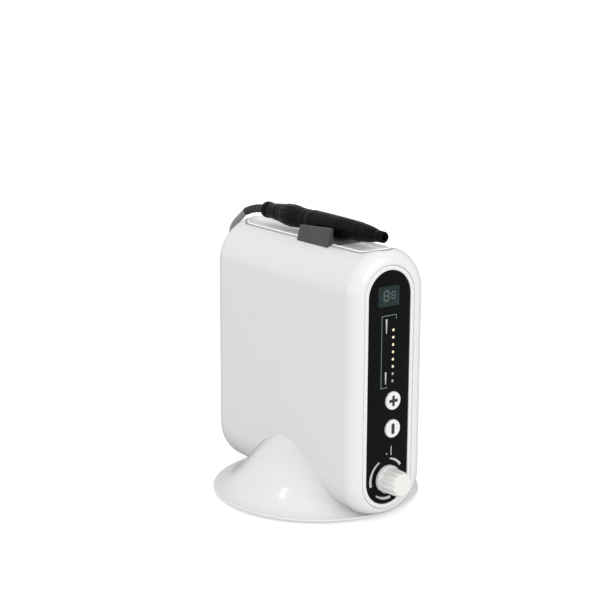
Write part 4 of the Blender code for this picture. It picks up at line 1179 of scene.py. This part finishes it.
def hose():
    """The hose hangs from the strain relief behind the unit and turns into the gland."""
    y, z, _ = relief_path()[-1]
    low, high = box_mm("hose")
    radius = high.x
    turn = math.radians(RELIEF_SLANT)
    slant = math.radians(HOSE_SLANT)
    gland = centre_of("hose_gland").z
    hang = high.y - radius  # the vertical run's place
    inside = 1.5  # how far the hose reaches into the strain relief
    kink = (HOSE_BEND * (slant - turn), HOSE_SLANT - RELIEF_SLANT)
    slope = (hang - y - HOSE_BEND * (1 - math.sin(turn))) / math.cos(slant)
    moves = [(inside, 0), kink, (slope, 0), (HOSE_BEND * (math.pi / 2 - slant), 90 - HOSE_SLANT)]
    start = (y - inside * math.cos(turn), z + inside * math.sin(turn))
    corner = walk(start, RELIEF_SLANT, moves)[-1][1]
    moves += [(corner - gland - HOSE_HEEL, 0), (HOSE_HEEL * math.pi / 2, 90)]
    path = walk(start, RELIEF_SLANT, moves)
    path.append((low.y, path[-1][1], path[-1][2]))
    shape = bmesh.new()
    sweep(shape, along(path, 2.0), lambda distance: radius, 32)
    thing = finish_mesh("hose_run", shape, "hose")
    thing.parent = None
    del thing["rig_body"]
    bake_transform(thing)
    return thing


# ---- foot ----

def foot_line():
    """The trumpet's outer line as (radius, height), from the rim's underside to the top."""
    return [(73.4, 1.7), (74.8, 2.2), (75.0, 2.7), (74.3, 3.3), (70.0, 4.2), (64.0, 7.0), (59.0, 13.4), (54.4, 21.0),
            (47.5, 30.0), (41.0, 37.5), (36.0, 42.5), (32.5, 46.5), (30.5, 49.0)]


def smooth_line(points, share):
    """A point on the smooth curve through points; share runs from 0 to 1 along them."""
    place = min(max(share, 0), 1) * (len(points) - 1)
    index = min(int(place), len(points) - 2)
    t = place - index
    p = [Vector(points[min(max(index + shift, 0), len(points) - 1)]) for shift in (-1, 0, 1, 2)]
    return 0.5 * (2 * p[1] + (p[2] - p[0]) * t + (2 * p[0] - 5 * p[1] + 4 * p[2] - p[3]) * t * t
                  + (3 * p[1] - p[0] - 3 * p[2] + p[3]) * t ** 3)


def skirt_point(radius, height, turn):
    """A point of the trumpet; the stem stands forward and the foot is centred."""
    climb = min(max((height - 3) / 20, 0), 1)
    centre = -6.0 * climb * climb * (3 - 2 * climb)
    return Vector((radius * math.cos(turn), centre + radius * math.sin(turn), height))


def outside_body(point, gap):
    """Above zero where a point is clear of the body by the gap."""
    if point.y < FRONT - gap or point.y > BACK + gap:
        return 1.0
    half, depth, low_centre, power = body_size(point.y, gap, RIM + gap)
    if point.z >= low_centre:
        return abs(point.x) - half
    return (abs(point.x) / half) ** power + ((low_centre - point.z) / depth) ** power - 1


def meeting(line, turn, gap):
    """How far up a line the trumpet meets the body, as a share."""
    steps = 160
    clear = 0.0
    for step in range(steps + 1):
        share = step / steps
        if outside_body(skirt_point(*smooth_line(line, share), turn), gap) < 0:
            break
        clear = share
    blocked = min(clear + 1 / steps, 1)
    for _ in range(12):
        middle = (clear + blocked) / 2
        if outside_body(skirt_point(*smooth_line(line, middle), turn), gap) < 0:
            blocked = middle
        else:
            clear = middle
    return clear


def base_skirt():
    """The trumpet foot: its outer and inner faces both end where they meet the body."""
    outer = foot_line()
    inner = [(67.0, 1.7)]
    for before, here, after in list(zip(outer, outer[1:], outer[2:]))[4:]:
        way = Vector((after[0] - before[0], after[1] - before[1])).normalized()
        inner.append((here[0] - way.y * WALL, here[1] + way.x * WALL))
    inner.append((outer[-1][0] - WALL, outer[-1][1]))
    count, rise = 180, 44
    loops = []
    for step in range(count):
        turn = math.tau * step / count
        top = meeting(outer, turn, -0.1)
        loop = [skirt_point(*smooth_line(outer, top * k / rise), turn) for k in range(rise + 1)]
        low = meeting(inner, turn, 0.15)
        loop += [skirt_point(*smooth_line(inner, low * k / 12), turn) for k in range(12, -1, -1)]
        loops.append(loop)
    shape = bmesh.new()
    skin(shape, loops, closed=True)
    return finish_mesh("foot_trumpet", shape, "base_skirt", sharp=60)


def foot_pad():
    low, high = box_mm("foot_pad")
    radius = high.x
    profile = [(0, high.z), (radius - 0.9, high.z, 0.3), (radius, low.z, 0.3)]
    for ring in (radius - 3, radius - 7, radius - 11):
        profile += [(ring, low.z), (ring - 0.3, low.z + 0.5), (ring - 1.7, low.z + 0.5), (ring - 2.0, low.z)]
    turned("foot_pad_disc", profile + [(0, low.z)], "foot_pad", (0, 0, 0), "Z", segments=96)


# ---- back of the unit ----

def rear_cover():
    low, high = COVER_LOW, COVER_HIGH
    radius = high.x
    profile = [(radius, low.y), (radius, high.y, 0.6), (0, high.y)]
    loops = [round_section(reach, y, BACK_CENTRE) for reach, y in smooth_corners(profile, steps=5)[:-1]]
    shape = bmesh.new()
    skin(shape, loops, open_strip=True)
    for reach, y in ((radius, low.y), (radius - 0.6, high.y)):
        shape.faces.new([shape.verts.new(point) for point in round_section(reach, y, BACK_CENTRE)[:-1]])
    cover = finish_mesh("rear_plate", shape, "rear_cover")
    outlines = []
    for number in range(1, 5):
        centre = centre_of(f"rear_screw_{number}")
        outlines.append(disc_outline((centre.x, centre.z), 1.5, 24))
    for node, radius in (("pedal_socket", 7.9), ("hose_gland", 5.3), ("water_inlet", 4.2)):
        outlines.append(disc_outline((0, centre_of(node).z), radius))
    for node, size in (("rocker_frame", (13.6, 19.6)), ("power_inlet", (20.6, 12.6))):
        outlines.append(rounded_outline((0, centre_of(node).z), size, 0.8))
    cut(cover, cutter(outlines, low.y - 2, high.y + 2))


def rear_screws():
    """Pan-head screws with a cross recess."""
    for number in range(1, 5):
        node = f"rear_screw_{number}"
        low, high = box_mm(node)
        centre = centre_of(node)
        head = high.y - 1.5
        profile = [(0, low.y), (0.8, low.y), (1.2, low.y + 0.5), (1.2, head), (2.6, head, 0.15), (2.55, head + 0.7)]
        profile += [(2.1, head + 1.25), (1.3, high.y - 0.04), (0, high.y)]
        screw = turned(node + "_head", profile, node, (centre.x, 0, centre.z), segments=40)
        arm, half = 1.45, 0.32
        cross = [(half, half), (half, arm), (-half, arm), (-half, half), (-arm, half), (-arm, -half)]
        cross += [(-half, -half), (-half, -arm), (half, -arm), (half, -half), (arm, -half), (arm, half)]
        outline = [(centre.x + across, centre.z + up) for across, up in cross]
        cut(screw, cutter([outline], high.y - 0.9, high.y + 1))


def pedal_socket():
    """A round socket with a keyed well and contact holes."""
    node = "pedal_socket"
    low, high = box_mm(node)
    z = centre_of(node).z
    face = high.y - 1.7
    profile = [(0, low.y), (7.6, low.y), (7.6, face), (9.2, face), (9.2, face + 1.2, 0.3), (8.7, high.y, 0.3)]
    profile += [(5.6, high.y, 0.3), (5.6, 80.0), (4.9, 80.0), (4.9, 84.5, 0.3), (0, 84.5)]
    socket = turned("pedal_jack", profile, node, (0, 0, z), segments=64)
    holes = []
    for number in range(5):
        turn = math.radians(180 + 45 * number)
        holes.append(disc_outline((3.2 * math.cos(turn), z + 3.2 * math.sin(turn)), 0.55, 16))
    cut(socket, cutter(holes + [rounded_outline((0, z + 5.0), (1.6, 1.4), 0.2, 3)], 82.0, 87.0))


def hose_gland():
    node = "hose_gland"
    low, high = box_mm(node)
    face = BACK + GAP

    def grip(turn, position):
        return -0.35 * (0.5 + 0.5 * math.cos(18 * turn)) if face + 1.0 < position < face + 3.6 else 0

    profile = [(5.0, low.y), (5.0, face), (7.4, face, 0.2), (7.4, face + 0.9), (7.4, face + 1.2), (7.4, face + 3.4)]
    profile += [(7.4, 90.0, 0.3), (6.6, 93.4, 0.8), (4.4, high.y, 0.4), (2.9, high.y), (2.9, low.y)]
    turned("gland_nut", profile, node, (0, 0, centre_of(node).z), ring=True, segments=108, wave=grip)


def water_inlet():
    node = "water_inlet"
    low, high = box_mm(node)
    face = BACK + GAP

    def hexagon(turn, position):
        if not face - 0.01 < position < face + 2.6:
            return 0
        flat = math.cos(math.pi / 6) / math.cos((turn % (math.pi / 3)) - math.pi / 6)
        return 6.2 * (flat - 1)

    profile = [(2.0, low.y), (2.4, 72.0), (2.0, 76.0), (3.9, 76.3), (3.9, face - 0.02), (6.2, face), (6.2, 88.6)]
    profile += [(3.4, 88.65), (3.4, 90.6, 0.3), (4.1, 91.4, 0.2), (3.5, 92.6), (3.3, 92.7), (3.9, 93.0, 0.2)]
    profile += [(3.0, high.y, 0.2), (1.3, high.y), (1.3, low.y)]
    turned("water_barb", profile, node, (0, 0, centre_of(node).z), ring=True, segments=72, wave=hexagon)


def rocker_marks():
    """The usual line and ring of a mains switch, on the rocker's two faces."""
    low, high = box_mm("power_rocker")
    middle = centre_of("power_rocker")
    tilt = math.radians(-8)
    shape = bmesh.new()
    for up, ring in ((4.0, False), (-4.0, True)):
        lean = math.atan2(1.0, 7.4) * (1 if up > 0 else -1)
        turn = tilt - lean
        out = 2.6 + abs(up) / 7.4 + 0.02
        y = middle_pivot_y() + out * math.cos(tilt) - up * math.sin(tilt)
        z = middle.z + up * math.cos(tilt) + out * math.sin(tilt)
        matrix = Matrix.Translation((0, y, z)) @ Matrix.Rotation(turn, 4, "X")
        before = set(shape.verts)
        if ring:
            outer = disc_outline((0, 0), 1.3, 32)
            inner = disc_outline((0, 0), 0.95, 32)
            loops = [[Vector((a, d, b)) for a, b in line] for line, d in
                     ((outer, 0.03), (outer, -0.05), (inner, -0.05), (inner, 0.03))]
            skin(shape, loops, closed=True)
        else:
            prism(shape, rounded_outline((0, 0), (0.5, 2.6), 0.1, 2), 0.03, -0.05)
        bmesh.ops.transform(shape, matrix=matrix, verts=[v for v in shape.verts if v not in before])
    marks = finish_mesh("rocker_marks", shape, "power_rocker", nodes=[])
    marks.data.materials[0] = MATERIALS["panel_ink"]


def solenoid_spring():
    """A coil spring of round wire with an even pitch, given a mesh of its own."""
    low, high = box_mm("solenoid_spring")
    wire = 0.4
    turns, per_turn = 4, 24
    centre = (low + high) / 2
    reach = (high.x - low.x) / 2 - wire
    loops = []
    for step in range(turns * per_turn + 1):
        turn = math.tau * step / per_turn
        out = Vector((math.cos(turn), math.sin(turn), 0))
        rise = (high.z - low.z - 2 * wire) * step / (turns * per_turn)
        middle = Vector((centre.x, centre.y, low.z + wire + rise)) + out * reach
        angles = [math.tau * side / 12 for side in range(12)]
        loops.append([middle + wire * (out * math.cos(a) + Vector((0, 0, math.sin(a)))) for a in angles])
    shape = bmesh.new()
    skin(shape, loops, caps=True)
    spring = finish_mesh("spring_coil", shape, "solenoid_spring", sharp=70)
    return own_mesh(spring)


def middle_pivot_y():
    joint = next(item for item in frame["joints"] if item["name"] == "power_rock")
    return joint["pos_m"][1] / MM


# ---- everything carried over from the frame ----

def carry_over():
    """Give each CAD node that stays visible its slot's material and softened edges."""
    for name, thing in frame["nodes"].items():
        thing.data.materials.clear()
        thing.data.materials.append(MATERIALS[SLOTS[name]])
        if not thing.hide_render:
            low, high = box_mm(name)
            soften(thing, min(0.35, min(high - low) * 0.06), 2, 40)


# ---- studio ----

def studio():
    """A pale floor under an even white sky, a soft sun from the front right and one small softbox."""
    shape = bmesh.new()
    bmesh.ops.create_grid(shape, x_segments=1, y_segments=1, size=60.0)
    mesh = bpy.data.meshes.new("floor")
    shape.to_mesh(mesh)
    shape.free()
    floor = bpy.data.objects.new("floor", mesh)
    bpy.context.scene.collection.objects.link(floor)
    paint = moulded("floor_paint", (0.7, 0.7, 0.7), 0.9, 40, 0.00002, 0.003, specular=0.0)
    shader = paint.node_tree.nodes["Principled BSDF"]
    seen = paint.node_tree.nodes.new("ShaderNodeLightPath").outputs["Is Camera Ray"]
    paint.node_tree.links.new(remap(paint.node_tree, seen, 0, FLOOR_LIFT, 0, 1), shader.inputs["Emission Strength"])
    shader.inputs["Emission Color"].default_value = (1, 1, 1, 1)
    mesh.materials.append(paint)
    sun = bpy.data.lights.new("sun", "SUN")
    sun.energy = 1.0
    sun.angle = math.radians(35)
    sun_object = bpy.data.objects.new("sun", sun)
    sun_object.rotation_euler = Vector((0.3, -0.9, 0.28)).to_track_quat("Z", "Y").to_euler()
    bpy.context.scene.collection.objects.link(sun_object)
    area_light("foot_spark", (-0.985, -0.04, 0.372), (-0.051, -0.032, 0.015), 0.12, 0.45)
    world = bpy.data.worlds.new("sky")
    bpy.context.scene.world = world
    world.use_nodes = True
    tree = world.node_tree
    ways = tree.nodes.new("ShaderNodeSeparateXYZ")
    tree.links.new(tree.nodes.new("ShaderNodeTexCoord").outputs["Generated"], ways.inputs["Vector"])
    sideways = remap(tree, ways.outputs["X"], SKY, SKY * DIM_SIDE, -0.1, 0.8)
    overhead = remap(tree, ways.outputs["Z"], 1, DIM_TOP, 0.25, 0.9)
    light = product(tree, sideways, overhead)
    seen = tree.nodes.new("ShaderNodeLightPath").outputs["Is Camera Ray"]
    shown = remap(tree, seen, 0, 1.02, 0, 1)
    tree.links.new(light, shown.node.inputs["To Min"])
    tree.links.new(shown, tree.nodes["Background"].inputs["Strength"])
    tree.nodes["Background"].inputs["Color"].default_value = (1, 1, 1, 1)
    bpy.context.scene.view_settings.view_transform = "Standard"


def area_light(name, place, target, size, power):
    data = bpy.data.lights.new(name, "AREA")
    data.shape = "DISK"
    data.size = size
    data.energy = power
    lamp_object = bpy.data.objects.new(name, data)
    lamp_object.location = place
    way = Vector(target) - Vector(place)
    lamp_object.rotation_euler = way.to_track_quat("-Z", "Y").to_euler()
    bpy.context.scene.collection.objects.link(lamp_object)


def camera():
    """Three-quarter view from the front left, a little above the unit."""
    azimuth, pitch, roll = (math.radians(angle) for angle in (-36.05, 13.17, 0.24))
    back = Vector((math.sin(azimuth) * math.cos(pitch), -math.cos(azimuth) * math.cos(pitch), math.sin(pitch)))
    level = Vector((math.cos(azimuth), math.sin(azimuth), 0))
    right = level * math.cos(roll) + back.cross(level) * math.sin(roll)
    up = back.cross(right)
    data = bpy.data.cameras.new("view")
    data.lens = 86.7
    data.sensor_width = 36
    eye = bpy.data.objects.new("view", data)
    bpy.context.scene.collection.objects.link(eye)
    turn = Matrix((right, up, back)).transposed().to_4x4()
    eye.matrix_world = Matrix.Translation((-0.6019, -0.8062, 0.3764)) @ turn
    bpy.context.scene.camera = eye


for make in (
    main_housing, front_bezel, control_panel, display, light_lenses, panel_print, water_knob,
    top_tray, handpiece_holder, nose_cap, nose_cone, grip_sleeve, tail_sleeve, hose_plug, plug_collar,
    strain_relief, hose, base_skirt, foot_pad,
    rear_cover, rear_screws, pedal_socket, hose_gland, water_inlet, rocker_marks, solenoid_spring,
):
    make()
key_button("plus_button", plus_sign)
key_button("minus_button", minus_sign)
carry_over()
studio()
camera()
